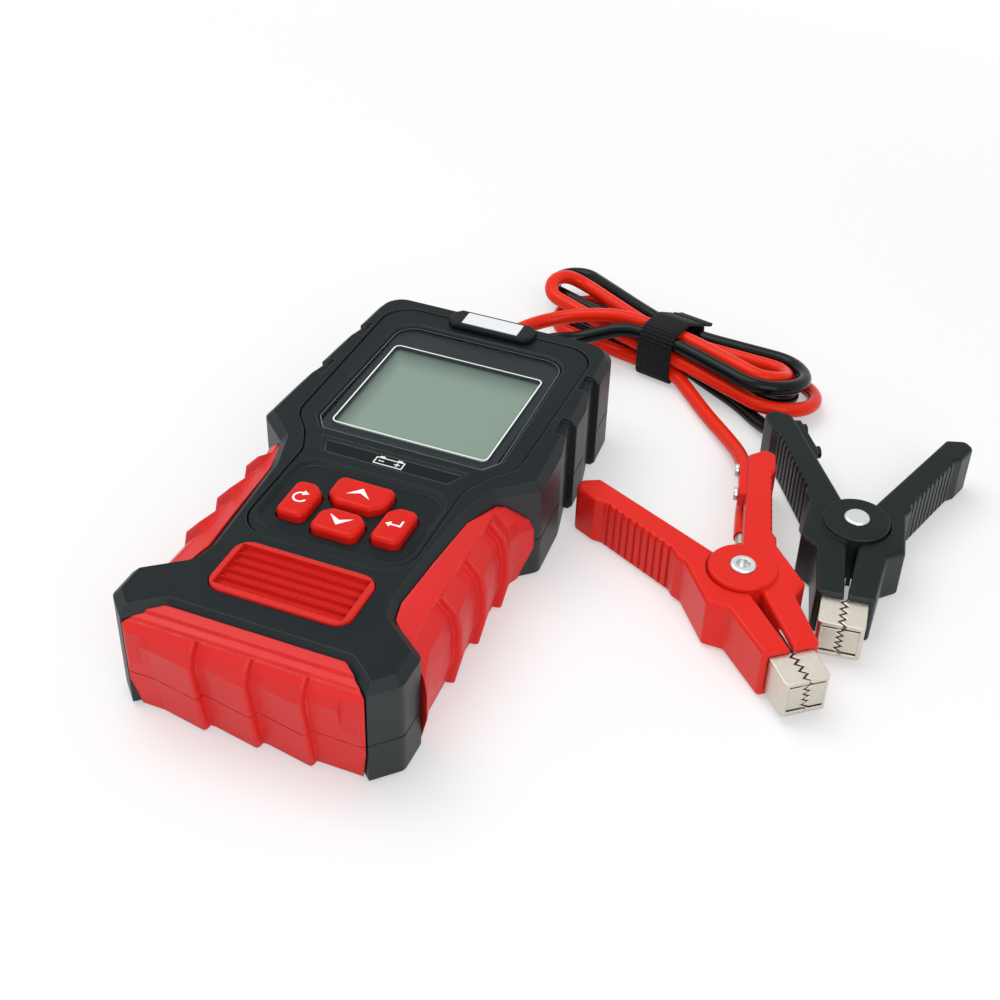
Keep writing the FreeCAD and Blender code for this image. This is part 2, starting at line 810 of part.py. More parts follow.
def front_panel():
    body = new_body("front_panel")
    sketch = new_sketch(body, panel_floor)
    polygon(sketch, both_sides(panel_outline()))
    pad(body, sketch, panel_top - panel_floor)
    corners = [(side * x, y) for x, y in panel_outline() for side in (1, -1)]
    dress(body, "Fillet", s.panel_corner, upright_at(corners))
    dress(body, "Fillet", s.panel_edge, rim_of_face(body.Tip.Shape, panel_top))
    recess = new_sketch(body, panel_top)
    polygon(recess, both_sides(lens_outline(s.lens_gap)))
    pocket(body, recess, s.lens_drop + s.lens_thickness)
    corners = [(side * (s.lens_top_half + s.lens_gap), s.lens_top_y + s.lens_gap) for side in (1, -1)]
    dress(body, "Fillet", s.lens_corner, upright_at(corners))
    window = new_sketch(body, lens_floor)
    reach = s.display_half + s.display_gap
    rectangle(window, -reach, reach, s.display_low_y - s.display_gap,
              s.display_top_y + s.display_gap)
    pocket(body, window, lens_floor - panel_floor + 1)
    title = new_sketch(body, panel_top)
    polygon(title, both_sides([(s.title_top_half, s.title_top_y), (s.title_low_half, s.title_low_y)]))
    pocket(body, title, s.title_depth)
    keypad = new_sketch(body, panel_top)
    rectangle(keypad, -s.keypad_half, s.keypad_half, s.keypad_low_y, s.keypad_top_y)
    pocket(body, keypad, s.keypad_depth)
    corners = [(side * s.keypad_half, y) for side in (1, -1) for y in (s.keypad_low_y, s.keypad_top_y)]
    dress(body, "Fillet", s.keypad_corner, upright_at(corners))
    recess_box = (-s.lens_low_half - 1, s.lens_low_half + 1, s.title_low_y - 1, s.lens_top_y + 1)
    dress(body, "Chamfer", s.recess_bevel, at_level(panel_top, recess_box))
    keypad_box = (-s.keypad_half - 1, s.keypad_half + 1, s.keypad_low_y - 1, s.keypad_top_y + 1)
    slope = dress(body, "Chamfer", s.keypad_depth - s.seam_bevel, at_level(panel_top, keypad_box))
    slope.ChamferType = "Two distances"
    slope.FlipDirection = True
    bind(slope, "Size2", s.keypad_bevel)
    settle(body, slope)
    holes = new_sketch(body, panel_top)
    for outline, _x, _y in KEYS.values():
        polygon(holes, outline(s.key_gap))
    pocket(body, holes, s.panel_thickness + 1)
    corners = [place for outline, _x, _y in KEYS.values() for place in outline(s.key_gap)]
    dress(body, "Fillet", s.key_corner, upright_at(corners))


def lens():
    body = new_body("lens")
    sketch = new_sketch(body, lens_floor)
    polygon(sketch, both_sides(lens_outline()))
    pad(body, sketch, s.lens_thickness)
    corners = [(side * s.lens_top_half, s.lens_top_y) for side in (1, -1)]
    dress(body, "Fillet", s.lens_corner, upright_at(corners))


def lcd_module():
    body = new_body("lcd_module")
    sketch = new_sketch(body, board_top)
    rectangle(sketch, -s.display_half, s.display_half, s.display_low_y,
              s.display_top_y)
    pad(body, sketch, lens_floor - s.lens_gap - board_top)


def key(name):
    outline, x, y = KEYS[name]
    body = new_body(name)
    floor = panel_top - s.keypad_depth
    sketch = new_sketch(body, floor + s.key_rise - s.key_skirt)
    polygon(sketch, outline(0.0))
    pad(body, sketch, s.key_skirt)
    dress(body, "Fillet", s.key_corner, upright_at(outline(0.0)))
    dress(body, "Fillet", s.key_round, rim_of_face(body.Tip.Shape, floor + s.key_rise))
    stem = new_sketch(body, board_top + s.switch_height - s.stem_reach)
    circle(stem, x, y, s.stem_radius)
    pad(body, stem, floor + s.key_rise - s.key_skirt + 1 - (board_top + s.switch_height - s.stem_reach))


def tact_switches():
    bodies = []
    for name, (_outline, x, y) in KEYS.items():
        body = doc.addObject("PartDesign::Body", name + "_switch")
        body.Label = name + "_switch"
        sketch = new_sketch(body, board_top)
        half = s.switch_width / 2
        rectangle(sketch, x - half, x + half, y - half, y + half)
        pad(body, sketch, s.switch_height)
        bore = new_sketch(body, board_top + s.switch_height)
        circle(bore, x, y, s.stem_radius + s.stem_gap)
        pocket(body, bore, s.stem_reach + s.key_travel + s.stem_gap)
        bodies.append(body)
    group("tact_switches", bodies)


# Each slat of the inlay: share of the pitch that is groove, share of the depth its crest stays below the rim
SLAT_GROOVE = 0.36
SLAT_CREST = 0.2


def ribbed_inlay():
    body = new_body("ribbed_inlay")
    floor = s.body_height - s.inlay_depth
    top = s.body_height + s.inlay_rise
    sketch = new_sketch(body, floor)
    rectangle(sketch, -s.inlay_half, s.inlay_half, s.inlay_low_y, s.inlay_top_y)
    pad(body, sketch, top - floor)
    corners = [(side * s.inlay_half, y) for side in (1, -1) for y in (s.inlay_low_y, s.inlay_top_y)]
    dress(body, "Fillet", s.inlay_corner, upright_at(corners))
    dress(body, "Fillet", s.inlay_rise, rim_of_face(body.Tip.Shape, top))
    inner = s.inlay_half - s.inlay_rim
    saw = new_sketch(body, inner, "YZ_Plane")
    pitch = (s.inlay_top_y - s.inlay_low_y - 2 * s.inlay_rim) / s.slat_count
    count = int(s.slat_count.value)
    profile = [(s.inlay_top_y - s.inlay_rim, top + 1)]
    for number in range(count):
        high_y = s.inlay_top_y - s.inlay_rim - number * pitch
        profile.append((high_y, top - s.slat_depth))
        profile.append((high_y - pitch * SLAT_GROOVE, top - s.slat_depth))
        profile.append((high_y - pitch, top - s.slat_depth * SLAT_CREST))
    profile.append((s.inlay_low_y + s.inlay_rim, top + 1))
    polygon(saw, profile)
    pocket(body, saw, inner * 2)


def label_tab():
    body = new_body("label_tab")
    sketch = new_sketch(body, s.body_height)
    polygon(sketch, both_sides([(s.tab_half - s.tab_cut, s.tab_high_y),
                                (s.tab_half, s.tab_high_y - s.tab_cut),
                                (s.tab_half, s.tab_low_y + s.tab_cut),
                                (s.tab_half - s.tab_cut, s.tab_low_y)]))
    pad(body, sketch, s.tab_height)
    dress(body, "Chamfer", s.tab_height / 3, rim_of_face(body.Tip.Shape, s.body_height + s.tab_height))
    bed = new_sketch(body, s.body_height + s.tab_height)
    middle = (s.tab_low_y + s.tab_high_y) / 2
    label_box(bed, middle, s.inlay_gap / 2)
    pocket(body, bed, s.label_thickness - s.label_rise)
    label = new_body("label_plate")
    sketch = new_sketch(label, s.body_height + s.tab_height - s.label_thickness + s.label_rise)
    label_box(sketch, middle, 0.0)
    pad(label, sketch, s.label_thickness)


def label_box(sketch, middle, gap):
    rectangle(sketch, -s.label_half - gap, s.label_half + gap, middle - s.label_length / 2 - gap,
              middle + s.label_length / 2 + gap)


# How far each edge of a grip's section moves out, from the inner wall round to the foot
GRIP_SWELL = (0.0, 0.0, 0.0, 0.5, 0.95, 1.0, 0.95, 0.0)
GRIP_DOME = (0.0, 1.0, 0.7, 0.5, 0.1, 0.0, 0.0, 0.0)
GRIP_RIB = (0.0, 0.0, 0.0, 1.0, 1.0, 1.0, 1.0, 0.0)
GRIP_LIP = 3
# Head end of a grip: way from the neck to the head's lower corner, and share of the dome's drop
GRIP_HEAD = ((1.5, 1.15), (1.0, 0.8), (0.86, 0.5), (0.7, 0.28), (0.45, 0.1), (0.2, 0.0))
# How far each edge of a bumper's section moves out
UPPER_PLATE = (0.0, 0.0, 0.0, 0.0, 0.0, 1.0, 1.0, 1.0, 0.0)
UPPER_LIP = 5
LOWER_PLATE = (0.0, 0.0, 1.0, 0.0)
# The rounded front of a rib or plate: way behind its edge, in edge widths, and share of its height
SHINGLE_NOSE = ((1.8, 1.0), (0.6, 0.9), (0.0, 0.62))


def outward(start, end):
    """Unit normal on the left of a line, which is its outer side when corners go round clockwise."""
    run = (end[0].value - start[0].value, end[1].value - start[1].value)
    length = math.hypot(*run)
    return (-run[1] / length, run[0] / length)


def moved(corners, shares, step, lip=None):
    """The corners of a section whose edges move outwards by their shares of a step, parallel to themselves.

    A share belongs to the edge that starts at the corner. At the lip the section steps straight out.
    """
    places = []
    for number, corner in enumerate(corners):
        following = corners[(number + 1) % len(corners)]
        c, d = outward(corner, following)
        if number == lip:
            places.append(corner)
            places.append((corner[0] + step * c, corner[1] + step * d))
            continue
        a, b = outward(corners[number - 1], corner)
        first, second = shares[number - 1], shares[number]
        area = a * d - b * c
        places.append((corner[0] + step * ((first * d - second * b) / area),
                       corner[1] + step * ((second * a - first * c) / area)))
    return places


def grip_section(body, side, y, swell, dome, rib):
    """One cross-section of a grip: flat band, lip of the rib, shoulder, side and foot."""
    inner = s.waist_low_half - s.shell_wall * 2
    corners = [(inner, s.grip_foot), (inner, s.grip_top), (s.waist_high_half - 1, s.grip_top),
               (s.grip_bevel_half, s.grip_bevel_z), (s.grip_shoulder_half, s.grip_shoulder_z),
               (s.grip_side_half, s.grip_side_z), (s.grip_side_half, s.grip_belly_z),
               (s.grip_foot_half, s.grip_foot)]
    corners = moved(corners, GRIP_SWELL, swell)
    corners = moved(corners, GRIP_DOME, -dome)
    corners = moved(corners, GRIP_RIB, s.shingle_lip + rib, GRIP_LIP)
    sketch = new_sketch(body, -y, "XZ_Plane")
    polygon(sketch, [(side * x, z) for x, z in corners])
    return sketch


def grip(name, side):
    """A soft grip with three shingled ribs, let into the waist between head and tail."""
    body = new_body(name)
    none = size_of(0.0)
    stations = []
    for along, drop in GRIP_HEAD:
        y = s.neck_y + (s.head_low_y - s.neck_y) * along
        stations.append((y, s.grip_head_flare * (along * 1.3), s.grip_dome * drop, none))
    for number in range(3):
        crest_y = s.rib_first_y - number * s.rib_pitch
        stations.append((crest_y + s.rib_ramp * (0.45 if number == 0 else 1.0), none, none, none))
        for behind, share in SHINGLE_NOSE:
            stations.append((crest_y + s.rib_edge * behind, none, none, s.rib_height * share))
        stations.append((crest_y - s.rib_edge / 2, none, none, none))
    stations.append((s.tail_neck_y, s.grip_tail_flare * 0.3, none, none))
    stations.append((s.tail_high_y - 4, s.grip_tail_flare + s.step_depth, none, none))
    sketches = [grip_section(body, side, *station) for station in stations]
    loft = body.newObject("PartDesign::AdditiveLoft", name + "_loft")
    loft.Profile = sketches[0]
    loft.Sections = sketches[1:]
    loft.Ruled = True
    settle(body, loft)
    bed = new_sketch(body, s.body_height + 1)
    line = waist_line(s.grip_gap)
    first, last = line[0], line[-1]
    reach = FAR - s.head_low_half
    outline = [(0.0, half_length), (FAR, half_length), (FAR, first[1] + reach), first]
    outline += line[1:-1] + [last, (FAR, last[1] - reach), (FAR, -half_length), (0.0, -half_length)]
    polygon(bed, [(side * x, y) for x, y in outline])
    pocket(body, bed, s.body_height + 2)


def bumper_stations():
    """Places across the tail and how far the face stands out, with three plates that step towards +X."""
    none = size_of(0.0)
    stations = [(-s.horn_half, none)]
    for number in range(3):
        edge_x = s.plate_first_x + number * s.plate_pitch
        stations.append((edge_x - s.plate_pitch + s.plate_edge * 4, none))
        for behind, share in SHINGLE_NOSE:
            stations.append((edge_x - s.plate_edge * behind, s.plate_step * share))
        stations.append((edge_x + s.plate_edge / 2, none))
    stations.append((s.horn_half, none))
    return stations


def bumper_face(height):
    """How far out the leaning face stands at a height, measured from the middle of the tester."""
    shoulder = s.bumper_shoulder_z - s.bumper_shoulder_drop
    return (s.bumper_lean * (height - shoulder)) / (shoulder - s.bumper_foot) - s.bumper_face_y


def upper_section():
    """The upper bumper from the side: rim, worn strip, slope, shoulder and face."""
    inner = s.bumper_gap - s.seat_y
    low = s.split_height + s.bumper_split_gap
    rim = inner + s.bumper_rim
    strip = rim + s.bumper_rim_step
    shoulder = s.bumper_shoulder_z - s.bumper_shoulder_drop
    high = (strip + s.bumper_strip, s.bumper_strip_z - s.bumper_strip * 0.1)
    end = (bumper_face(shoulder) - s.bumper_shoulder_drop * 0.4, s.bumper_shoulder_z)
    lip = [high[axis] + (end[axis] - high[axis]) * 0.3 for axis in (0, 1)]
    return [(inner, low), (inner, s.bumper_top), (rim, s.bumper_top), (strip, s.bumper_strip_z), high, lip,
            end, (bumper_face(shoulder), shoulder), (bumper_face(low), low)]


def lower_section():
    """The lower bumper from the side: the face goes on leaning in towards the foot."""
    inner = s.bumper_gap - s.seat_y
    high = s.split_height - s.bumper_split_gap
    return [(inner, s.bumper_foot), (inner, high), (bumper_face(high), high),
            (bumper_face(s.bumper_foot), s.bumper_foot)]


def bumper(name, corners, shares, lip=None):
    """A bumper half, lofted across the tail and trimmed to the tail's corners."""
    body = new_body(name)
    sketches = []
    for x, step in bumper_stations():
        sketch = new_sketch(body, x, "YZ_Plane")
        polygon(sketch, [(-out, z) for out, z in moved(corners, shares, s.shingle_lip + step, lip)])
        sketches.append(sketch)
    loft = body.newObject("PartDesign::AdditiveLoft", name + "_loft")
    loft.Profile = sketches[0]
    loft.Sections = sketches[1:]
    loft.Ruled = True
    settle(body, loft)
    gap = s.bumper_gap
    corner = [(s.seat_half - gap, s.seat_y - gap), (s.horn_half - 2 * gap, s.horn_y - gap),
              (s.bumper_side_half, s.bumper_side_y), (s.bumper_flat_half, s.bumper_flat_y),
              (s.bumper_flat_half - s.bumper_flat_outset, -FAR * 2), (FAR, -FAR * 2), (FAR, s.seat_y + 1),
              (s.seat_half - gap, s.seat_y + 1)]
    for side in (1, -1):
        trim = new_sketch(body, s.body_height + 1)
        polygon(trim, [(side * x, y) for x, y in corner])
        pocket(body, trim, s.body_height + 2)
    seat_corners = [(side * (s.seat_half - gap), s.seat_y - gap) for side in (1, -1)]
    dress(body, "Fillet", s.seat_radius, upright_at(seat_corners))


def bumpers():
    bumper("front_bumper", upper_section(), UPPER_PLATE, UPPER_LIP)
    bumper("rear_bumper", lower_section(), LOWER_PLATE)


def main_board():
    body = new_body("main_board")
    sketch = new_sketch(body, board_floor)
    polygon(sketch, both_sides([(s.board_half, s.board_top_y), (s.board_half, s.board_shoulder_y),
                                (s.board_neck_half, s.board_shoulder_y),
                                (s.board_neck_half, s.board_low_y)]))
    for x, y in board_screws:
        circle(sketch, x, y, s.board_screw_radius + s.screw_clearance)
    pad(body, sketch, s.board_thickness)


def screws():
    """Case screws up through the rear posts, and board screws up into the short stands."""
    case = []
    for number, (x, y) in enumerate(head_screws):
        floor = s.counterbore_depth
        case.append(cap_screw("case_screw_%d" % number, x, y, floor, s.screw_head_radius,
                              s.screw_head_height, s.screw_radius, s.screw_length))
    group("case_screws", case)
    small = []
    for number, (x, y) in enumerate(board_screws):
        small.append(cap_screw("board_screw_%d" % number, x, y, board_floor, s.board_screw_head,
                               s.board_screw_head * 0.7, s.board_screw_radius, s.board_screw_length))
    group("board_screws", small)


def cap_screw(name, x, y, seat_z, head_radius, head_height, radius, length):
    head = cylinder(name + "_head", head_radius, head_height, x, y, seat_z - head_height)
    shank = cylinder(name + "_shank", radius, length + head_height / 2, x, y, seat_z - head_height / 2)
    screw = doc.addObject("Part::Fuse", name)
    screw.Base = head
    screw.Tool = shank
    return screw


def inside_parts():
    buzzer = cylinder("buzzer", s.buzzer_radius, s.buzzer_height, s.buzzer_x, s.buzzer_y,
                      board_floor - s.buzzer_height)
    parts.append(buzzer)
    block = new_body("load_resistor")
    sketch = new_sketch(block, board_floor - s.resistor_height)
    rectangle(sketch, -s.resistor_half, s.resistor_half, s.resistor_y - s.resistor_width / 2,
              s.resistor_y + s.resistor_width / 2)
    pad(block, sketch, s.resistor_height)


def gland(name, x):
    """A strain relief held at the seam, turned about the lead's own line."""
    body = new_body(name)
    sketch = new_sketch(body, s.split_height)
    inner_y = half_length - s.shell_wall - s.gland_gap
    outer_y = half_length + s.gland_gap
    tip_y = s.gland_tip_y
    profile = [(0.0, inner_y - s.gland_flange), (s.gland_flange_radius, inner_y - s.gland_flange),
               (s.gland_flange_radius, inner_y), (s.gland_neck_radius, inner_y),
               (s.gland_neck_radius, outer_y), (s.gland_collar_radius, outer_y),
               (s.gland_collar_radius, outer_y + s.gland_collar),
               (s.gland_neck_radius, outer_y + s.gland_collar), (s.gland_tip_radius, tip_y), (0.0, tip_y)]
    polygon(sketch, [(x + distance, y) for distance, y in profile])
    axis = body.newObject("PartDesign::Line", name + "_axis")
    axis.Placement = FreeCAD.Placement(
        FreeCAD.Vector(x.value, 0, s.split_height.value),
        FreeCAD.Rotation(FreeCAD.Vector(0, 0, 1), FreeCAD.Vector(0, 1, 0)))
    feature = body.newObject("PartDesign::Revolution", name + "_turning")
    feature.Profile = sketch
    feature.ReferenceAxis = (axis, [""])
    feature.Angle = 360.0
    settle(body, feature)


def arm_outline(side):
    """Plan of one clamp arm: nose, shoulder and handle on the same side of the pivot."""
    points = [(s.nose_length, s.arm_slit), (s.nose_length, s.nose_half), (s.nose_root, s.nose_root_half),
              (s.shoulder_front, s.shoulder_half), (-s.handle_root, s.handle_root_outer)]
    recess = ((0.08, 0.0), (0.13, -1.0), (0.76, -1.0), (0.82, 0.0))
    points += [along_handle(1, share, s.handle_recess * depth) for share, depth in recess]
    points += [(-s.handle_end + 2, s.handle_end_outer), (-s.handle_end - 1.2, s.handle_end_outer - 2.6),
               (-s.handle_end, s.handle_end_inner), (-s.hub_radius, s.handle_root_inner),
               (-s.hub_radius * 0.6, s.arm_slit), (s.slit_middle, s.slit_half)]
    return [(x, side * y) for x, y in points]


def along_handle(side, share, offset):
    """A point on the outer edge of the handle, from its root to its end, moved outwards."""
    start = (-s.handle_root, s.handle_root_outer)
    end = (-s.handle_end + 2, s.handle_end_outer)
    run = (end[0].value - start[0].value, end[1].value - start[1].value)
    length = math.hypot(*run)
    x = start[0] + (end[0] - start[0]) * share + offset * (run[1] / length)
    y = start[1] + (end[1] - start[1]) * share - offset * (run[0] / length)
    return (x, side * y)


def clamp_arm(name, place, side, upper):
    """One arm. The fixed arm has the upper half of the hub, the moving arm the lower half."""
    body = new_body(name, *place)
    sketch = new_sketch(body, s.arm_foot)
    polygon(sketch, arm_outline(side))
    pad(body, sketch, s.arm_top - s.arm_foot)
    outline = arm_outline(side)
    dress(body, "Fillet", s.arm_edge, upright_at(outline[1:5] + outline[11:12]))
    dress(body, "Fillet", s.handle_tip_radius, upright_at(outline[9:11]))
    for level in (s.arm_top, s.arm_foot):
        dress(body, "Fillet", s.arm_edge, rim_of_face(body.Tip.Shape, level))
    low = s.hub_split + s.hub_split_gap if upper else s.arm_foot
    high = s.arm_top + s.hub_rise if upper else s.hub_split - s.hub_split_gap
    space = new_sketch(body, s.hub_split + s.hub_split_gap * (1 if upper else -1))
    circle(space, 0.0, 0.0, s.hub_radius + s.hub_gap)
    pocket(body, space, s.body_height, forward=not upper)
    hub = new_sketch(body, low)
    circle(hub, 0.0, 0.0, s.hub_radius)
    pad(body, hub, high - low)
    bore = new_sketch(body, s.body_height)
    circle(bore, 0.0, 0.0, s.rivet_radius + s.rivet_gap)
    pocket(body, bore, s.body_height + 1)
    if upper:
        dress(body, "Fillet", s.hub_round, rim_of_face(body.Tip.Shape, high))
    else:
        sink = new_sketch(body, 0.0)
        circle(sink, 0.0, 0.0, s.rivet_head_radius + s.hub_gap)
        pocket(body, sink, s.arm_foot + s.rivet_head + s.hub_split_gap, forward=True)
    socket = new_sketch(body, s.jaw_high + s.jaw_gap)
    rectangle(socket, s.jaw_back - s.jaw_gap, FAR, side * (s.jaw_half + s.jaw_gap), -side * FAR)
    pocket(body, socket, s.jaw_high - s.jaw_low + 2 * s.jaw_gap)
    grooves = new_sketch(body, s.body_height)
    count = int(s.handle_groove_count.value)
    for number in range(count):
        first = 0.14 + 0.62 * number / count
        mouth = [(first, size_of(1.0)), (first + 0.032, size_of(1.0))]
        bottom = [(first + 0.026, -s.handle_groove_depth), (first + 0.006, -s.handle_groove_depth)]
        polygon(grooves, [along_handle(side, share, depth) for share, depth in mouth + bottom])
    pocket(body, grooves, s.body_height)
    if upper:
        cut_lead_channel(body, side)
        add_screw_saddle(body, side)


def inner_edge(share, offset):
    """A point on the inner edge of the handle, from its end to its root, moved outwards."""
    start = (-s.handle_end, s.handle_end_inner)
    end = (-s.hub_radius, s.handle_root_inner)
    run = (end[0].value - start[0].value, end[1].value - start[1].value)
    length = math.hypot(*run)
    x = start[0] + (end[0] - start[0]) * share - offset * (run[1] / length)
    y = start[1] + (end[1] - start[1]) * share + offset * (run[0] / length)
    return (x, y)


def cut_lead_channel(body, side):
    """Opens the inner edge of the fixed handle for the end of the lead."""
    run = math.hypot(s.handle_end.value - s.hub_radius.value,
                     s.handle_end_inner.value - s.handle_root_inner.value)
    share = s.channel_length / run
    channel = new_sketch(body, s.channel_z + s.channel_height / 2)
    corners = [inner_edge(-0.2, size_of(-2.0)), inner_edge(share, size_of(-2.0)),
               inner_edge(share, s.channel_width), inner_edge(-0.2, s.channel_width)]
    polygon(channel, [(x, side * y) for x, y in corners])
    pocket(body, channel, s.channel_height)


# Places of the two lead screws along the handle, and of the saddle under them: foot and face
SCREW_SHARES = (0.1, 0.37)
SADDLE_FOOT = (0.03, 0.44)
SADDLE_FACE = (0.05, 0.42)


def add_screw_saddle(body, side):
    """A low pad on the inner face of the fixed handle, which takes the two screws of the lead."""
    saddle = new_sketch(body, s.saddle_low)
    corners = [inner_edge(share, s.channel_width / 2) for share in SADDLE_FOOT]
    corners += [inner_edge(share, -s.saddle_depth) for share in SADDLE_FACE[::-1]]
    polygon(saddle, [(x, side * y) for x, y in corners])
    pad(body, saddle, s.saddle_high - s.saddle_low)


def saw(start, end, count, outward):
    """Places along a saw-toothed meeting line, and how far each lies to the side."""
    pitch = (end - start) / count
    line = []
    for number in range(int(count.value)):
        line.append((start + number * pitch, s.tooth_depth / 2 + outward))
        line.append((start + (number + 0.5) * pitch, -s.tooth_depth / 2 + outward))
    line.append((end, s.tooth_depth / 2 + outward))
    return line


def clamp_jaw(name, place, side):
    """A folded metal jaw, open towards its partner, with teeth along the meeting edges."""
    body = new_body(name, *place)
    outward = side * s.tooth_gap / 2
    sketch = new_sketch(body, s.jaw_low)
    outline = [(s.jaw_back, side * s.jaw_half), (s.jaw_front, side * s.jaw_half)]
    outline += saw(s.jaw_front, s.nose_length, s.tooth_count, outward)
    inside = side * (s.tooth_gap / 2 + s.jaw_gap)
    outline += [(s.nose_length - s.jaw_gap, inside), (s.jaw_back, inside)]
    polygon(sketch, outline)
    pad(body, sketch, s.jaw_high - s.jaw_low)
    dress(body, "Fillet", s.jaw_round, upright_at(outline[1:2]))
    hollow = new_sketch(body, s.jaw_high - s.jaw_metal)
    rectangle(hollow, s.jaw_back - 1, s.jaw_front + 1, -side * FAR, side * (s.jaw_half - s.jaw_metal))
    pocket(body, hollow, s.jaw_high - s.jaw_low - 2 * s.jaw_metal)
    plate = new_sketch(body, s.jaw_front - s.jaw_metal - s.jaw_gap, "YZ_Plane")
    floor = s.jaw_low + s.jaw_metal + s.jaw_slot
    ceiling = s.jaw_high - s.jaw_metal - s.jaw_slot
    flank = side * (s.jaw_half - s.jaw_metal * 0.8)
    front = [(flank, floor), (flank, ceiling)]
    front += [(across, height) for height, across in saw(ceiling, floor, s.tooth_count, outward)]
    polygon(plate, front)
    pad(body, plate, s.jaw_metal)


def rivet(name, place, hollow):
    low = s.arm_foot + s.hub_split_gap
    seat = s.arm_top + s.hub_rise
    top = seat + s.rivet_head
    profile = [(0.0, low), (s.rivet_head_radius, low), (s.rivet_head_radius, low + s.rivet_head),
               (s.rivet_radius, low + s.rivet_head), (s.rivet_radius, seat), (s.rivet_head_radius, seat),
               (s.rivet_head_radius, seat + s.rivet_head / 2),
               (s.rivet_head_radius - s.rivet_head / 2, top)]
    if hollow:
        profile += [(s.rivet_hollow, top), (s.rivet_hollow, seat - s.rivet_head), (0.0, seat - s.rivet_head)]
    else:
        profile += [(0.0, top)]
    turned(name, profile, place[0], place[1])


def cable_screws(name, place, side):
    """Two small screws on the saddle of the fixed handle, above the lead."""
    angle = math.radians(place[2].value)
    items = []
    seat = -s.saddle_depth.value
    for number, share in enumerate(SCREW_SHARES):
        screw = doc.addObject("Part::Fuse", "%s_%d" % (name, number))
        pieces = []
        for label, radius, start, end in (
                ("head", s.cable_screw_head, seat - 1.3, seat - 0.1),
                ("shank", s.cable_screw_radius, seat - 0.6, seat + s.cable_screw_length.value)):
            foot = inner_edge(share, size_of(start))
            tip = inner_edge(share, size_of(end))
            foot = FreeCAD.Vector(foot[0].value, side * foot[1].value, s.cable_screw_z.value)
            tip = FreeCAD.Vector(tip[0].value, side * tip[1].value, s.cable_screw_z.value)
            item = doc.addObject("Part::Cylinder", "%s_%d_%s" % (name, number, label))
            bind(item, "Radius", radius)
            item.Height = (tip - foot).Length
            laid = FreeCAD.Placement(FreeCAD.Vector(place[0].value, place[1].value, 0),
                                     FreeCAD.Rotation(math.degrees(angle), 0, 0))
            own = FreeCAD.Placement(foot, FreeCAD.Rotation(FreeCAD.Vector(0, 0, 1), tip - foot))
            item.Placement = laid.multiply(own)
            pieces.append(item)
        screw.Base = pieces[0]
        screw.Tool = pieces[1]
        items.append(screw)
    group(name, items)


def clamp(colour, side):
    place = (getattr(s, "clamp_x_" + colour), getattr(s, "clamp_y_" + colour),
             getattr(s, "clamp_angle_" + colour))
    clamp_arm(colour + "_fixed_arm", place, side, True)
    clamp_arm(colour + "_moving_arm", place, -side, False)
    clamp_jaw(colour + "_fixed_jaw", place, side)
    clamp_jaw(colour + "_moving_jaw", place, -side)
    rivet(colour + "_rivet", place, colour == "red")
    cable_screws(colour + "_cable_screws", place, side)


# The hank: each lead passes the strap five times, front and back by turns, and sinks from
# the upper layer to the floor. A slot is the place of a pass in the strap: across, and layer.
inner_slot = s.strand_pitch / 2
outer_slot = s.strand_pitch * 1.5
SLOTS = {
    "red": [(-inner_slot, 2), (inner_slot, 1), (-outer_slot, 1), (outer_slot, 0), (-outer_slot, 0)],
    "black": [(-outer_slot, 2), (outer_slot, 1), (-inner_slot, 1), (inner_slot, 0), (-inner_slot, 0)],
}
# Each fold: reach from the strap, across at its start and end, and how far each corner of the
# fold lies above the floor layer, in strand pitches.
FOLDS = {
    "red": [(44.0, -8.0, 8.0, (2.18, 1.93, 1.43, 1.18)), (52.0, 14.5, -3.4, (1.35, 1.98, 2.05, 1.79)),
            (55.0, -14.0, 14.0, (1.0, 0.75, 0.25, 0.0)), (48.0, 21.0, -3.4, (0.0, 0.0, 0.0, 0.0))],
    "black": [(50.0, -14.0, 14.0, (2.18, 1.93, 1.43, 1.18)), (57.0, 25.0, 6.4, (1.0, 1.0, 1.0, 1.0)),
              (47.0, -7.8, 7.8, (1.0, 0.75, 0.25, 0.0)), (42.0, 14.2, 2.4, (0.0, 0.0, 0.0, 0.0))],
}
LEAD_IN = {
    "red": [(-5.0, 103.0, 14.0), (-5.0, 111.0, 14.0), (-1.2, 121.0, 13.4), (7.0, 128.4, 14.2),
            (17.5, 131.8, 16.2), (28.0, 133.6, 17.3)],
    "black": [(6.0, 103.0, 14.0), (6.0, 109.5, 14.0), (8.6, 117.2, 11.8), (14.5, 122.0, 10.8),
              (22.0, 125.2, 13.0), (29.8, 127.4, 16.0)],
}
LEAD_OUT = {
    "red": [(58.5, 118.5, 3.2), (68.4, 107.4, 3.0), (78.0, 97.0, 3.8), (85.6, 86.9, 5.4),
            (90.1, 76.9, 6.2), (92.9, 66.3, 6.2), (94.8, 55.4, 6.2), (97.4, 45.0, 6.2)],
    "black": [(64.0, 126.0, 2.9), (76.0, 119.0, 2.8), (86.2, 110.0, 2.9), (94.0, 102.2, 6.2),
              (101.7, 94.2, 6.2), (107.3, 84.6, 6.2), (113.4, 76.0, 6.2)],
}
FOLD_ANGLES = (-67.5, -22.5, 22.5, 67.5)
FLOOR_LAYER = 0.3


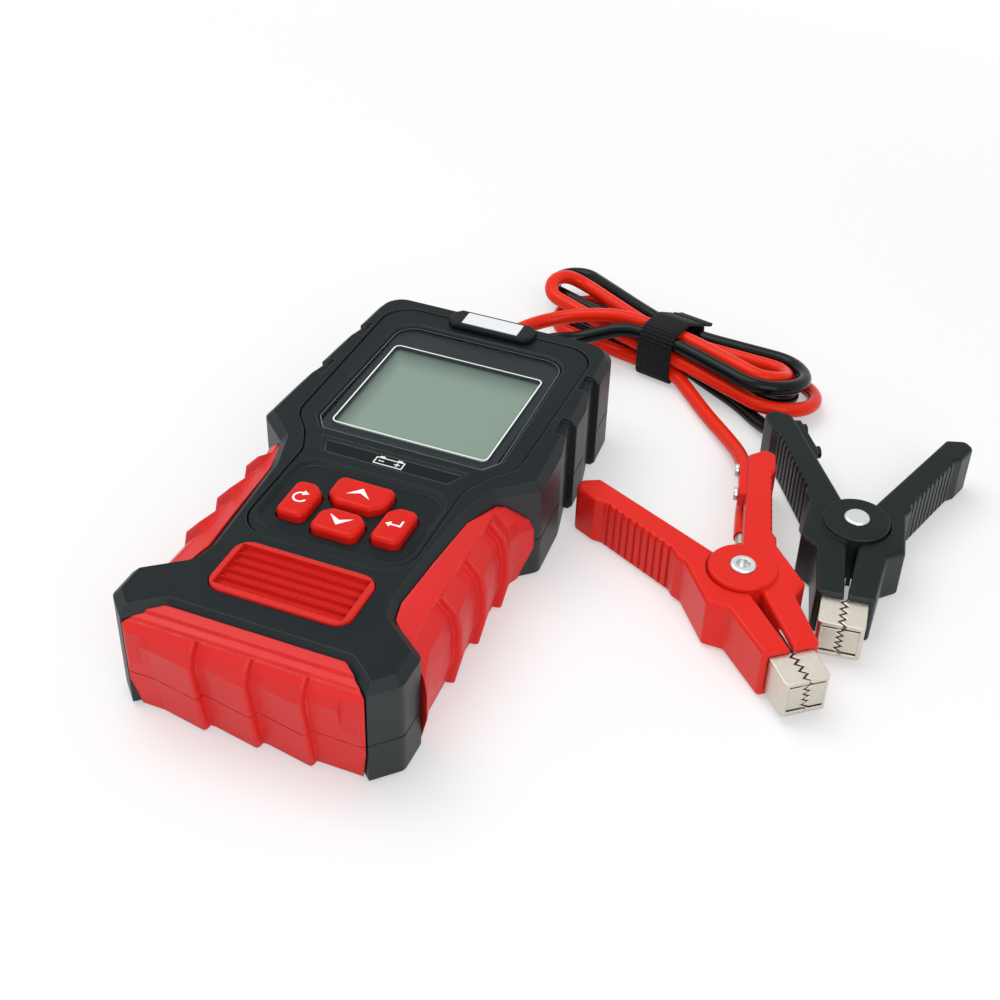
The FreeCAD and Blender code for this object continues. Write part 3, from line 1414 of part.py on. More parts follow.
def hank_points(colour):
    """Corner points of the folded stretch, in the strap's own directions."""
    points = []
    radius = s.cord_diameter.value / 2
    pitch = s.strand_pitch.value
    strap_layer = s.strap_floor.value + s.strap_thickness.value + s.strap_gap.value + radius
    for number, (across, layer) in enumerate(SLOTS[colour]):
        ahead = 1 if number % 2 == 0 else -1
        half = s.strap_width.value / 2 + 0.5
        height = strap_layer + layer * pitch
        points += [(-ahead * half, across.value, height), (ahead * half, across.value, height)]
        if number == len(SLOTS[colour]) - 1:
            break
        reach, start, end, layers = FOLDS[colour][number]
        bend = abs(end - start) / 2
        middle = (start + end) / 2
        turn = 1 if end > start else -1
        corner = bend / math.cos(math.radians(FOLD_ANGLES[2]))
        for angle, level in zip(FOLD_ANGLES, layers):
            along = reach - bend + corner * math.cos(math.radians(angle))
            points.append((ahead * along, middle + turn * corner * math.sin(math.radians(angle)),
                           radius + FLOOR_LAYER + level * pitch))
    turn = FreeCAD.Rotation(FreeCAD.Vector(0, 0, 1), s.hank_angle.value)
    laid = FreeCAD.Placement(FreeCAD.Vector(s.hank_x.value, s.hank_y.value, 0), turn)
    return [laid.multVec(FreeCAD.Vector(*point)) for point in points]


def rounded_runs(points):
    """Straight runs joined by tangent arcs, and the radius of each arc."""
    bends = []
    radii = []
    for before, corner, after in zip(points, points[1:], points[2:]):
        inward = (before - corner).normalize()
        onward = (after - corner).normalize()
        half_turn = (math.pi - inward.getAngle(onward)) / 2
        reach = 0.45 * min((before - corner).Length, (after - corner).Length)
        radius = reach / math.tan(half_turn)
        bisector = (inward + onward).normalize()
        centre = corner + bisector * (radius / math.cos(half_turn))
        bends.append((corner + inward * reach, centre - bisector * radius, corner + onward * reach))
        radii.append(radius)
    return bends, radii


def lead(colour):
    """The lead from its gland through the hank to its clamp, in three stretches."""
    start = [FreeCAD.Vector(*point) for point in LEAD_IN[colour]]
    folded = hank_points(colour)
    end = [FreeCAD.Vector(*point) for point in LEAD_OUT[colour]]
    points = start + folded + end
    bends, radii = rounded_runs(points)
    cuts = {len(start) - 1, len(start) + len(folded) - 1}
    stretches = [[]]
    position = points[0]
    for run in range(len(points) - 1):
        stop = bends[run][0] if run < len(bends) else points[-1]
        if run in cuts:
            middle = (position + stop) / 2
            stretches[-1].append(Part.LineSegment(position, middle).toShape())
            stretches.append([])
            position = middle
        stretches[-1].append(Part.LineSegment(position, stop).toShape())
        if run < len(bends):
            stretches[-1].append(Part.Arc(*bends[run]).toShape())
            position = bends[run][2]
    print("%s lead: arc radii %s" % (colour, " ".join("%.1f" % radius for radius in radii)))
    for name, edges in zip(("lead_start", "lead_hank", "lead_end"), stretches):
        tube("%s_%s" % (colour, name), edges)
    return [point for edges in stretches for edge in edges for point in spread(edge)]


def spread(edge):
    """Points about a millimetre apart along an edge."""
    return edge.discretize(Number=max(2, int(edge.Length) + 1))


def tube(name, edges):
    path = Part.Wire(edges)
    radius = s.cord_diameter.value / 2
    section = Part.Wire(Part.makeCircle(radius, edges[0].valueAt(edges[0].FirstParameter),
                                        edges[0].tangentAt(edges[0].FirstParameter)))
    item = doc.addObject("Part::Feature", name)
    item.Label = name
    item.Shape = path.makePipeShell([section], True, False)
    parts.append(item)
    expected = math.pi * radius * radius * path.Length
    print("%s: length %.1f, volume over section times length %.4f"
          % (name, path.Length, item.Shape.Volume / expected))


def least_gap(first, second, apart):
    """Least distance between two lines of points, less a diameter; near neighbours don't count."""
    least = FAR
    same = first is second
    for number, point in enumerate(first):
        others = second[number + apart:] if same else second
        for other in others:
            distance = (point - other).Length
            if distance < least:
                least = distance
    return least - s.cord_diameter.value


def strap():
    """A woven band round the waist of the hank, with its loose end at the back."""
    body = new_body("cord_strap", s.hank_x, s.hank_y, s.hank_angle)
    radius = s.cord_diameter / 2
    room = radius + s.strap_gap
    side = outer_slot + room
    low = s.strap_floor + s.strap_thickness
    back_top = low + s.strap_gap + radius + s.strand_pitch + room
    top = back_top + s.strand_pitch
    inner = [(-side, low), (side, low), (side, back_top), (inner_slot - s.strand_pitch / 2, top),
             (-side, top)]
    wall = s.strap_thickness
    outer = [(-side - wall, low - wall), (side + wall, low - wall), (side + wall, back_top + wall * 0.6),
             (inner_slot - s.strand_pitch / 2 + wall * 0.3, top + wall), (-side - wall, top + wall)]
    sketch = new_sketch(body, -s.strap_width / 2, "YZ_Plane")
    polygon(sketch, outer)
    polygon(sketch, inner)
    pad(body, sketch, s.strap_width)

    def lengthwise(edge):
        return edge.BoundBox.XLength > 0 and len(edge.Vertexes) == 2 and abs(
            edge.Length - s.strap_width.value) < 0.01
    dress(body, "Fillet", radius, lengthwise)
    flap = new_sketch(body, -s.strap_width / 2, "YZ_Plane")
    root = (side + wall * 0.6, back_top - wall)
    polygon(flap, [root, (root[0] + s.flap_length, root[1] - s.flap_length / 3),
                   (root[0] + s.flap_length, root[1] - s.flap_length / 3 + wall),
                   (root[0], root[1] + wall)])
    pad(body, flap, s.strap_width)


front_cover()
rear_cover()
front_panel()
lens()
lcd_module()
for key_name in KEYS:
    key(key_name)
tact_switches()
ribbed_inlay()
label_tab()
grip("right_grip", 1)
grip("left_grip", -1)
bumpers()
main_board()
screws()
inside_parts()
gland("red_gland", s.gland_x_red)
gland("black_gland", s.gland_x_black)
clamp("red", 1)
clamp("black", -1)
red_line = lead("red")
black_line = lead("black")
strap()
doc.recompute()

NEAR_POINTS = 20
print("least gap: red to itself %.2f, black to itself %.2f, red to black %.2f" % (
    least_gap(red_line, red_line, NEAR_POINTS), least_gap(black_line, black_line, NEAR_POINTS),
    least_gap(red_line, black_line, 0)))

for item in doc.Objects:
    if "Invalid" in item.State or "Error" in item.State:
        raise RuntimeError("%s failed" % item.Name)
for part in parts:
    if part.Shape.isNull() or not part.Shape.isValid():
        raise RuntimeError("%s has no valid shape" % part.Label)

os.makedirs("parts", exist_ok=True)
for part in parts:
    part.Shape.exportStep("parts/%s.step" % part.Label)
print("%d parts" % len(parts))
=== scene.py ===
"""Looks of a handheld battery tester with two clamp leads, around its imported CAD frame."""
import bmesh
import bpy
import math
from mathutils import Matrix, Vector


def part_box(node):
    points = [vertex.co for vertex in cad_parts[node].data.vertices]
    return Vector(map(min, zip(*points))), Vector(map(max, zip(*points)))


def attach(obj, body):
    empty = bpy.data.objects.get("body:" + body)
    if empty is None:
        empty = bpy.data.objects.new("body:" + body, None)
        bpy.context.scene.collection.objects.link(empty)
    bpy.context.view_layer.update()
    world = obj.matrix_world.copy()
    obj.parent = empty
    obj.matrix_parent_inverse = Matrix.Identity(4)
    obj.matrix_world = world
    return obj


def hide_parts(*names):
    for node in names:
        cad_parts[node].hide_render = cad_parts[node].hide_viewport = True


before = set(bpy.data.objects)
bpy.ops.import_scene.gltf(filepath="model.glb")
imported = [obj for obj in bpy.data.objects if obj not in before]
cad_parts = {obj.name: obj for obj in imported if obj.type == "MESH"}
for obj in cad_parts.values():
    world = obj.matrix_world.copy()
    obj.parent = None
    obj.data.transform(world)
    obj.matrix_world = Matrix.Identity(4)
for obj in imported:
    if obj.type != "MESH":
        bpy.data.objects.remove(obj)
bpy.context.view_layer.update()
MM = 0.001

# Housing
# Front and rear cover are two injection moulded halves of black ABS, screwed together from behind.
# The mould was spark eroded, so the plastic has a fine satin grain with a faint green-grey cast.


def linear(hex_code):
    """The linear colour of an sRGB hex code."""
    channels = [int(hex_code[place:place + 2], 16) / 255 for place in (1, 3, 5)]
    bent = [c / 12.92 if c <= 0.04045 else ((c + 0.055) / 1.055) ** 2.4 for c in channels]
    return (*bent, 1.0)


def add(material, kind, sockets=(), **settings):
    """Adds a node with its settings, and sets or links its sockets."""
    node = material.node_tree.nodes.new(kind)
    for name, value in settings.items():
        setattr(node, name, value)
    for name, value in dict(sockets).items():
        if isinstance(value, bpy.types.NodeSocket):
            material.node_tree.links.new(value, node.inputs[name])
        else:
            node.inputs[name].default_value = value
    return node


def new_material(name):
    """An empty material with its output node."""
    material = bpy.data.materials.new(name)
    material.use_nodes = True
    material.node_tree.nodes.clear()
    return material, add(material, "ShaderNodeOutputMaterial")


def finish_material(material, output, shader):
    """Links the shader to the output, and gives the material back."""
    material.node_tree.links.new(shader.outputs[0], output.inputs["Surface"])
    return material


def shade(part, material):
    """Gives a mesh or a CAD node its one material."""
    part.data.materials.clear()
    part.data.materials.append(material)


def shade_nodes(names, material):
    """Gives several CAD nodes the same material."""
    for name in names:
        shade(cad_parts[name], material)


def noise(material, vector, size, detail):
    """Soft clouds of a given size, from nought to one."""
    clouds = add(material, "ShaderNodeTexNoise", {"Vector": vector, "Scale": 1 / size, "Detail": detail})
    return clouds.outputs["Fac"]


def mixed(material, share, first, second):
    """A colour between two, by the share of the second."""
    colour = add(material, "ShaderNodeMix", {"Factor": share, "A": first, "B": second}, data_type="RGBA")
    return colour.outputs["Result"]


def ranged(material, value, before=(0.0, 1.0), after=(0.0, 1.0), **settings):
    """A value carried over from one range to another, and held at the ends."""
    carried = add(material, "ShaderNodeMapRange", {
        "Value": value, "From Min": before[0], "From Max": before[1],
        "To Min": after[0], "To Max": after[1]}, **settings)
    return carried.outputs["Result"]


def combined(material, operation, first, second):
    """Two values joined by one operation."""
    joined = add(material, "ShaderNodeMath", {0: first, 1: second}, operation=operation)
    return joined.outputs["Value"]


def soft_edge(material, radius):
    """The surface normal, rounded over the sharp edges that a mould would leave rounded."""
    return add(material, "ShaderNodeBevel", {"Radius": radius}, samples=6).outputs["Normal"]


def edge_share(material, rounded):
    """One along the edges, where the rounded normal leaves that of the face, and nought on the faces."""
    face = add(material, "ShaderNodeNewGeometry")
    same = add(material, "ShaderNodeVectorMath", {0: rounded, 1: face.outputs["Normal"]},
               operation="DOT_PRODUCT")
    return ranged(material, same.outputs["Value"], (0.99, 0.86))


def grained_plastic(name, dark, light, roughness, grain=0.35 * MM, gloss=0.12, polish=0.12):
    """Moulded plastic: two near tones in soft clouds, and a spark eroded grain that breaks the gloss.

    A real grain is about 0.1 mm and is drawn coarser, so that it shows. The walls that slide out of the
    mould and the edges that hands rub are smoother, so they catch the light.
    """
    material, output = new_material(name)
    place = add(material, "ShaderNodeTexCoord")
    clouds = noise(material, place.outputs["Object"], 18 * MM, 3.0)
    pits = noise(material, place.outputs["Object"], grain, 2.0)
    rounded = soft_edge(material, 0.6 * MM)
    bump = add(material, "ShaderNodeBump", {
        "Height": pits, "Strength": 0.6, "Distance": 0.012 * MM, "Normal": rounded})
    axes = add(material, "ShaderNodeSeparateXYZ", {"Vector": place.outputs["Normal"]})
    wall = ranged(material, axes.outputs["Z"], (0.9, 0.4))
    smooth = combined(material, "MAXIMUM", edge_share(material, rounded), wall)
    shader = add(material, "ShaderNodeBsdfPrincipled", {
        "Base Color": mixed(material, clouds, linear(dark), linear(light)), "IOR": 1.5,
        "Roughness": ranged(material, pits, (0.3, 0.7), (roughness - 0.05, roughness + 0.07)),
        "Specular IOR Level": ranged(material, smooth, after=(gloss, polish)),
        "Normal": bump.outputs["Normal"]})
    return finish_material(material, output, shader)


satin_abs = grained_plastic("satin_black_abs", "#151b1d", "#1b2224", 0.46, gloss=0.07, polish=0.44)
shade_nodes(("front_cover", "rear_cover"), satin_abs)

# Front panel
# A separate moulded plate of black ABS, snapped into the front cover so that a fine dark line runs round it.
# It carries the lens and the keys, and its mould was finer than that of the covers.
panel_abs = grained_plastic("fine_black_abs", "#141a1c", "#1a2123", 0.42, grain=0.22 * MM, gloss=0.07,
                            polish=0.44)
shade_nodes(("front_panel",), panel_abs)

# Title strip
# A strip of gloss black plastic is glued into the recess under the display. It carries a battery sign in
# white ink. Round its edge runs a fine light line, a painted highlight that stands for a raised rim catching
# the light. Sizes of all prints are in millimetres.
TITLE_CORNERS = [((22.0, 5.9), 0.8), ((-22.0, 5.9), 0.8), ((-19.7, 0.5), 0.8), ((19.7, 0.5), 0.8)]
TITLE_RIM = 0.25
TITLE_HEIGHT = 33.03
PRINT_RAISE = 0.04
PRINT_THICKNESS = 0.03


def gloss_print(name, hex_code, roughness, shine=0.5):
    """Ink printed on plastic: an even colour with a slight break in its gloss."""
    material, output = new_material(name)
    place = add(material, "ShaderNodeTexCoord")
    grain = noise(material, place.outputs["Object"], 0.3 * MM, 1.0)
    shader = add(material, "ShaderNodeBsdfPrincipled", {
        "Base Color": linear(hex_code), "IOR": 1.5, "Specular IOR Level": shine,
        "Roughness": ranged(material, grain, after=(roughness - 0.05, roughness + 0.05))})
    return finish_material(material, output, shader)


def new_piece(name, vertices, faces, material):
    """A mesh piece with one material."""
    mesh = bpy.data.meshes.new(name)
    mesh.from_pydata(vertices, [], faces)
    mesh.update()
    piece = bpy.data.objects.new(name, mesh)
    bpy.context.collection.objects.link(piece)
    shade(piece, material)
    return piece


def rounded_path(corners, steps=6):
    """A closed line through rounded corners, each given as a point and a radius."""
    path = []
    count = len(corners)
    for number, (corner, radius) in enumerate(corners):
        inward = (Vector(corners[number - 1][0]) - Vector(corner)).normalized()
        onward = (Vector(corners[(number + 1) % count][0]) - Vector(corner)).normalized()
        half_turn = (math.pi - inward.angle(onward)) / 2
        middle = (inward + onward).normalized()
        centre = Vector(corner) + middle * (radius / math.cos(half_turn))
        sense = 1 if inward.cross(onward) < 0 else -1
        for step in range(steps + 1):
            swing = sense * half_turn * (2 * step / steps - 1)
            path.append(centre - Matrix.Rotation(swing, 2) @ middle * radius)
    return path


def inset_line(corners, inset=0.0):
    """A closed outline through rounded corners, drawn in by the same amount on all sides."""
    middle = sum(y for (_x, y), _radius in corners) / len(corners)
    moved = []
    for (x, y), radius in corners:
        corner = (x - math.copysign(inset, x), y - math.copysign(inset, y - middle))
        moved.append((corner, radius - inset))
    return rounded_path(moved)


def print_layer(name, shapes, height, material, body="tester"):
    """A thin layer of ink or film: flat shapes in millimetres, each one outline or a band between two."""
    points = []
    faces = []
    for outlines in shapes:
        first = len(points)
        count = len(outlines[0])
        for outline in outlines:
            points += [Vector((x, y, height)) * MM for x, y in outline]
        if len(outlines) == 1:
            faces.append(tuple(range(first, first + count)))
            continue
        for here in range(first, first + count):
            onward = here + 1 if here + 1 < first + count else first
            faces.append((here, onward, onward + count, here + count))
    piece = new_piece(name, points, faces, material)
    layer = piece.modifiers.new("layer", "SOLIDIFY")
    layer.thickness = PRINT_THICKNESS * MM
    layer.offset = 0.0
    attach(piece, body)


def rectangle(left, low, right, high):
    """The corners of an upright rectangle."""
    return [(left, low), (right, low), (right, high), (left, high)]


BATTERY_CASE = (rectangle(-4.2, 1.7, 4.2, 4.2), rectangle(-4.6, 1.3, 4.6, 4.6))
BATTERY_POSTS = [(rectangle(-3.6, 4.6, -2.0, 5.2),), (rectangle(2.0, 4.6, 3.6, 5.2),)]
MINUS_SIGN = rectangle(-3.4, 2.75, -1.6, 3.15)
PLUS_SIGN = [(1.6, 2.75), (2.3, 2.75), (2.3, 2.05), (2.7, 2.05), (2.7, 2.75), (3.4, 2.75),
             (3.4, 3.15), (2.7, 3.15), (2.7, 3.85), (2.3, 3.85), (2.3, 3.15), (1.6, 3.15)]
BATTERY_SIGN = [BATTERY_CASE, *BATTERY_POSTS, (MINUS_SIGN,), (PLUS_SIGN,)]
print_layer("title_strip", [(inset_line(TITLE_CORNERS),)], TITLE_HEIGHT,
            gloss_print("gloss_black_strip", "#0d1314", 0.22, 0.08))
# Painted highlight: a pale grey line round the strip, standing for its rim catching the light.
print_layer("title_rim_highlight", [(inset_line(TITLE_CORNERS, TITLE_RIM), inset_line(TITLE_CORNERS))],
            TITLE_HEIGHT + PRINT_RAISE, gloss_print("painted_strip_rim_highlight", "#3c4547", 0.3, 0.2))
print_layer("title_sign", BATTERY_SIGN, TITLE_HEIGHT + PRINT_RAISE,
            gloss_print("white_title_ink", "#dfe3e2", 0.4))

# Display
# A reflective liquid crystal module lies under an acrylic lens, which is glued into the panel. A thin white
# line is printed on the lens round the clear window. The shade limits are where the lens edge darkens it.
DISPLAY_LINE_BOX = (-25.42, 15.43, 25.42, 61.97)
DISPLAY_LINE_RADIUS = 2.0
DISPLAY_LINE_WIDTH = 0.42
TOP_SHADE = (50 * MM, 63 * MM)
LEFT_SHADE = (-18 * MM, -26 * MM)


def display_film(name):
    """Switched-off liquid crystal: grey-green, darker under the edge of the lens where shade falls in."""
    material, output = new_material(name)
    place = add(material, "ShaderNodeTexCoord")
    axes = add(material, "ShaderNodeSeparateXYZ", {"Vector": place.outputs["Object"]})
    top = ranged(material, axes.outputs["Y"], TOP_SHADE, interpolation_type="SMOOTHSTEP")
    left = ranged(material, axes.outputs["X"], LEFT_SHADE, interpolation_type="SMOOTHSTEP")
    edge = combined(material, "MAXIMUM", top, left)
    shader = add(material, "ShaderNodeBsdfPrincipled", {
        "Base Color": mixed(material, edge, linear("#9ab2a2"), linear("#697b74")),
        "Roughness": 0.35, "IOR": 1.5})
    return finish_material(material, output, shader)


shade_nodes(("lcd_module",), display_film("reflective_liquid_crystal"))


def box_corners(left, low, right, high, radius):
    """The corners of an upright rectangle, each with the same radius."""
    return [(corner, radius) for corner in rectangle(left, low, right, high)]


display_line = box_corners(*DISPLAY_LINE_BOX, DISPLAY_LINE_RADIUS)
window = inset_line(display_line, DISPLAY_LINE_WIDTH)
lens_low, lens_high = (Vector(corner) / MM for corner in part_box("lens"))
print_layer("display_line", [(window, inset_line(display_line))], lens_high.z + PRINT_RAISE,
            gloss_print("white_screen_ink", "#eef2f0", 0.4))


def clear_acrylic(name):
    """Cast acrylic: clear, polished, with a hard reflection."""
    material, output = new_material(name)
    shader = add(material, "ShaderNodeBsdfPrincipled", {
        "Base Color": linear("#1c2222"), "Roughness": 0.08, "IOR": 1.49, "Specular IOR Level": 0.25,
        "Alpha": 0.12})
    return finish_material(material, output, shader)


shade_nodes(("lens",), clear_acrylic("clear_acrylic"))

# Printed mask behind the lens
# Gloss black ink, screen printed on the acrylic round the window, hides the edges of the display. It stops
# at the white line, and a margin at the rim of the lens is left clear.
MASK_MARGIN = (1.6, 0.6)
MASK_RADIUS = 5.0
MASK_DEPTH = 0.5
mask_line = box_corners(lens_low.x + MASK_MARGIN[0], lens_low.y + MASK_MARGIN[1],
                        lens_high.x - MASK_MARGIN[0], lens_high.y - MASK_MARGIN[1], MASK_RADIUS)
print_layer("lens_mask", [(window, inset_line(mask_line))], lens_low.z + MASK_DEPTH,
            gloss_print("black_mask_ink", "#222c2e", 0.3, 0.15))

# Polished edge of the lens, and its painted highlight
# The acrylic is cut to shape and its edge is flame polished. The light that this edge catches is painted as
# a fine light line, a narrow band just inside the outline of the lens.
LENS_CORNERS = [((28.7, 73.7), 7.0), ((-28.7, 73.7), 7.0), ((-29.8, 16.0), 2.0), ((-26.2, 10.8), 2.0),
                ((26.2, 10.8), 2.0), ((29.8, 16.0), 2.0)]
LENS_EDGE_HIGHLIGHT = (0.55, 0.3)
# Painted highlight: a light band along the lens outline, for the light its polished edge catches.
print_layer("lens_edge_highlight", [[inset_line(LENS_CORNERS, inset) for inset in LENS_EDGE_HIGHLIGHT]],
            lens_high.z + PRINT_RAISE, gloss_print("painted_lens_edge_highlight", "#5d686a", 0.2, 0.2))

# Keys
# Four caps of glossy red ABS stand on switches under the panel, and its openings guide them. Each carries
# a sign in white ink: a turning arrow, an arrow up, an arrow down and a bent arrow.


def glossy_plastic(name, dark, light):
    """Polished moulded plastic: even colour, a clear reflection, and slight waves from the mould."""
    material, output = new_material(name)
    place = add(material, "ShaderNodeTexCoord")
    clouds = noise(material, place.outputs["Object"], 6 * MM, 2.0)
    bump = add(material, "ShaderNodeBump", {
        "Height": clouds, "Strength": 0.3, "Distance": 0.03 * MM, "Normal": soft_edge(material, 0.5 * MM)})
    shader = add(material, "ShaderNodeBsdfPrincipled", {
        "Base Color": mixed(material, clouds, linear(dark), linear(light)), "Roughness": 0.24, "IOR": 1.5,
        "Specular IOR Level": 0.1, "Normal": bump.outputs["Normal"]})
    return finish_material(material, output, shader)


key_abs = glossy_plastic("glossy_red_abs", "#c91a12", "#d32017")
sign_ink = gloss_print("white_key_ink", "#f6f4f2", 0.35)
shade_nodes(("reset_key", "up_key", "down_key", "enter_key"), key_abs)


def arc(radius, start, end, steps=18):
    """Points along an arc round the middle of a key, in millimetres."""
    angles = [math.radians(start + (end - start) * step / steps) for step in range(steps + 1)]
    return [(radius * math.cos(angle), radius * math.sin(angle)) for angle in angles]


ARROW = [(0.0, 2.0), (3.6, -1.9), (0.0, -0.2), (-3.6, -1.9)]
RING_INSIDE = 1.7
RING_OUTSIDE = 2.3
RING_START = 90
RING_END = 340
RING_ARROW = [(0.0, 0.9), (1.8, 2.0), (0.0, 3.1)]
BENT_ARROW = [(1.7, 1.8), (2.3, 1.8), (2.3, -0.9), (-0.9, -0.9), (-0.9, -1.8), (-2.4, -0.6), (-0.9, 0.6),
              (-0.9, -0.3), (1.7, -0.3)]
KEY_SIGNS = {
    "up_key": ARROW,
    "down_key": [(x, -y) for x, y in ARROW],
    "reset_key": [*arc(RING_INSIDE, RING_END, RING_START), *RING_ARROW,
                  *arc(RING_OUTSIDE, RING_START, RING_END)],
    "enter_key": BENT_ARROW,
}
for key, outline in KEY_SIGNS.items():
    key_low, key_high = (Vector(corner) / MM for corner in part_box(key))
    middle = (key_low + key_high) / 2
    print_layer(key + "_sign", [([(middle.x + x, middle.y + y) for x, y in outline],)],
                key_high.z + PRINT_RAISE, sign_ink, body=key)

# Grips, bumper and ribbed inlay
# Grips and bumper are soft red elastomer, moulded over the covers where hands and knocks reach them. They
# are satin. The pale patches on their edges are partly worn by rubbing and partly painted sheen, light that
# the edges catch. The inlay is hard red ABS, set into the front cover.


def soft_elastomer(name, dark, light, worn_sheen_colour):
    """Thermoplastic elastomer: satin red, a shallow mould grain, and pale patches on the edges.

    The patches are partly worn by rubbing and partly painted sheen, light that the edges catch.
    """
    material, output = new_material(name)
    place = add(material, "ShaderNodeTexCoord")
    clouds = noise(material, place.outputs["Object"], 14 * MM, 4.0)
    patches = noise(material, place.outputs["Object"], 5 * MM, 5.0)
    grain = noise(material, place.outputs["Object"], 0.3 * MM, 2.0)
    rounded = soft_edge(material, 0.7 * MM)
    # Pale patches on the edges: worn by rubbing, and painted sheen that stands for the light they catch.
    worn = ranged(material, patches, (0.45, 0.7), (0.0, 0.3))
    wear_and_sheen = combined(material, "MULTIPLY", edge_share(material, rounded), worn)
    tone = mixed(material, clouds, linear(dark), linear(light))
    bump = add(material, "ShaderNodeBump", {
        "Height": grain, "Strength": 0.5, "Distance": 0.012 * MM, "Normal": rounded})
    shader = add(material, "ShaderNodeBsdfPrincipled", {
        "Base Color": mixed(material, wear_and_sheen, tone, linear(worn_sheen_colour)), "IOR": 1.5,
        "Roughness": ranged(material, clouds, (0.3, 0.7), (0.42, 0.54)),
        "Specular IOR Level": 0.32, "Normal": bump.outputs["Normal"]})
    return finish_material(material, output, shader)


# The third colour is the pale edge colour: worn by rubbing, and painted sheen.
red_elastomer = soft_elastomer("red_elastomer", "#c71b19", "#d52522", "#dd8277")
shade_nodes(("left_grip", "right_grip", "front_bumper", "rear_bumper"), red_elastomer)
inlay_abs = grained_plastic("red_inlay_abs", "#c41d18", "#cf261f", 0.4, gloss=0.14, polish=0.14)
shade_nodes(("ribbed_inlay",), inlay_abs)

# Label tab
# A bridge of black ABS sits over the top edge of the tester, between the panel and the leads. A white paper
# label is stuck into its shallow bed, and is left bare.
tab_abs = grained_plastic("tab_black_abs", "#0d1011", "#131718", 0.42)
shade_nodes(("label_tab",), tab_abs)


def label_paper(name):
    """Coated white paper with faint fibres."""
    material, output = new_material(name)
    place = add(material, "ShaderNodeTexCoord")
    fibres = noise(material, place.outputs["Object"], 0.5 * MM, 4.0)
    shader = add(material, "ShaderNodeBsdfPrincipled", {
        "Base Color": mixed(material, fibres, linear("#d3d7db"), linear("#e0e4e7")), "Roughness": 0.45})
    return finish_material(material, output, shader)


shade_nodes(("label_plate",), label_paper("coated_white_paper"))

# Leads
# Two flexible PVC leads leave the screen end through moulded glands. Both are folded into one hank:
# each passes the strap five times, front and back by turns, then goes on to its clamp.


def soft_pvc(name, dark, light, roughness, gloss):
    """Extruded PVC: smooth and glossy, with slight long waves from the coil it was shipped on."""
    material, output = new_material(name)
    place = add(material, "ShaderNodeTexCoord")
    waves = noise(material, place.outputs["Object"], 7 * MM, 3.0)
    bump = add(material, "ShaderNodeBump", {"Height": waves, "Strength": 0.4, "Distance": 0.15 * MM})
    shader = add(material, "ShaderNodeBsdfPrincipled", {
        "Base Color": mixed(material, waves, linear(dark), linear(light)), "Roughness": roughness,
        "IOR": 1.54, "Specular IOR Level": gloss, "Normal": bump.outputs["Normal"]})
    return finish_material(material, output, shader)


LEAD_PVC = {"red": soft_pvc("red_pvc", "#d9220a", "#e42b0e", 0.22, 0.13),
            "black": soft_pvc("black_pvc", "#090b0c", "#0f1213", 0.17, 0.13)}
CORD_DIAMETER = 5.0 * MM
HANK_PLACE = Matrix.Translation((46.0 * MM, 135.5 * MM, 0)) @ Matrix.Rotation(math.radians(-12), 4, "Z")
STRAND_PITCH = 5.7
STRAP_HALF_RUN = 7.0
STRAP_LAYER = 4.5
FLOOR_LAYER = 2.8
INNER_SLOT = STRAND_PITCH / 2
OUTER_SLOT = STRAND_PITCH * 1.5
# A slot is the place of a pass in the strap: across, and layer.
SLOTS = {
    "red": [(-INNER_SLOT, 2), (INNER_SLOT, 1), (-OUTER_SLOT, 1), (OUTER_SLOT, 0), (-OUTER_SLOT, 0)],
    "black": [(-OUTER_SLOT, 2), (OUTER_SLOT, 1), (-INNER_SLOT, 1), (INNER_SLOT, 0), (-INNER_SLOT, 0)],
}
# A fold: its reach from the strap, across at its start and end, and how far each of its corners lies above
# the floor layer, in strand pitches. Its corners lie at these angles, in front and at the back by turns.
FOLDS = {
    "red": [(44.0, -8.0, 8.0, (2.18, 1.93, 1.43, 1.18)), (52.0, 14.5, -3.4, (1.35, 1.98, 2.05, 1.79)),
            (55.0, -14.0, 14.0, (1.0, 0.75, 0.25, 0.0)), (48.0, 20.2, -7.6, (0.0, 0.0, 0.0, 0.0))],
    "black": [(50.0, -14.0, 14.0, (2.18, 1.93, 1.43, 1.18)), (57.0, 24.2, 6.4, (1.0, 1.0, 1.0, 1.0)),
              (47.0, -7.8, 7.8, (1.0, 0.75, 0.25, 0.0)), (42.0, 13.6, -1.4, (0.0, 0.0, 0.0, 0.0))],
}
FOLD_ANGLES = ((-75.0, -25.0, 25.0, 75.0), (-81.5, -36.5, 8.5, 53.5))
# Beside each fold, the point where the straight stretch ends and the one where the next begins.
STRAIGHT_ENDS = {
    "red": [((30.8, -7.2, 15.4), (30.8, 7.2, 9.7)), ((-36.7, 12.6, 10.4), (-41.4, -3.4, 12.5)),
            ((32.1, -12.8, 9.1), (32.1, 12.8, 3.4)), ((-25.8, 16.6, 3.4), (-31.6, -6.7, 3.3))],
    "black": [((27.1, -12.4, 15.5), (27.1, 12.4, 9.8)), ((-42.6, 22.2, 8.8), (-46.6, 6.0, 8.8)),
              ((34.1, -7.2, 8.9), (34.1, 7.2, 3.2)), ((-29.9, 11.9, 3.1), (-33.1, -0.9, 3.1))],
}
LEAD_IN = {
    "red": [(-5.0, 103.0, 14.0), (-5.0, 111.0, 14.0), (-1.2, 121.0, 13.4), (7.0, 128.4, 14.2),
            (17.5, 131.8, 16.2), (28.0, 133.6, 17.3)],
    "black": [(6.0, 103.0, 14.0), (6.0, 109.5, 14.0), (8.6, 117.2, 11.8), (14.5, 122.0, 10.8),
              (22.0, 125.2, 13.0), (29.8, 127.4, 16.0)],
}
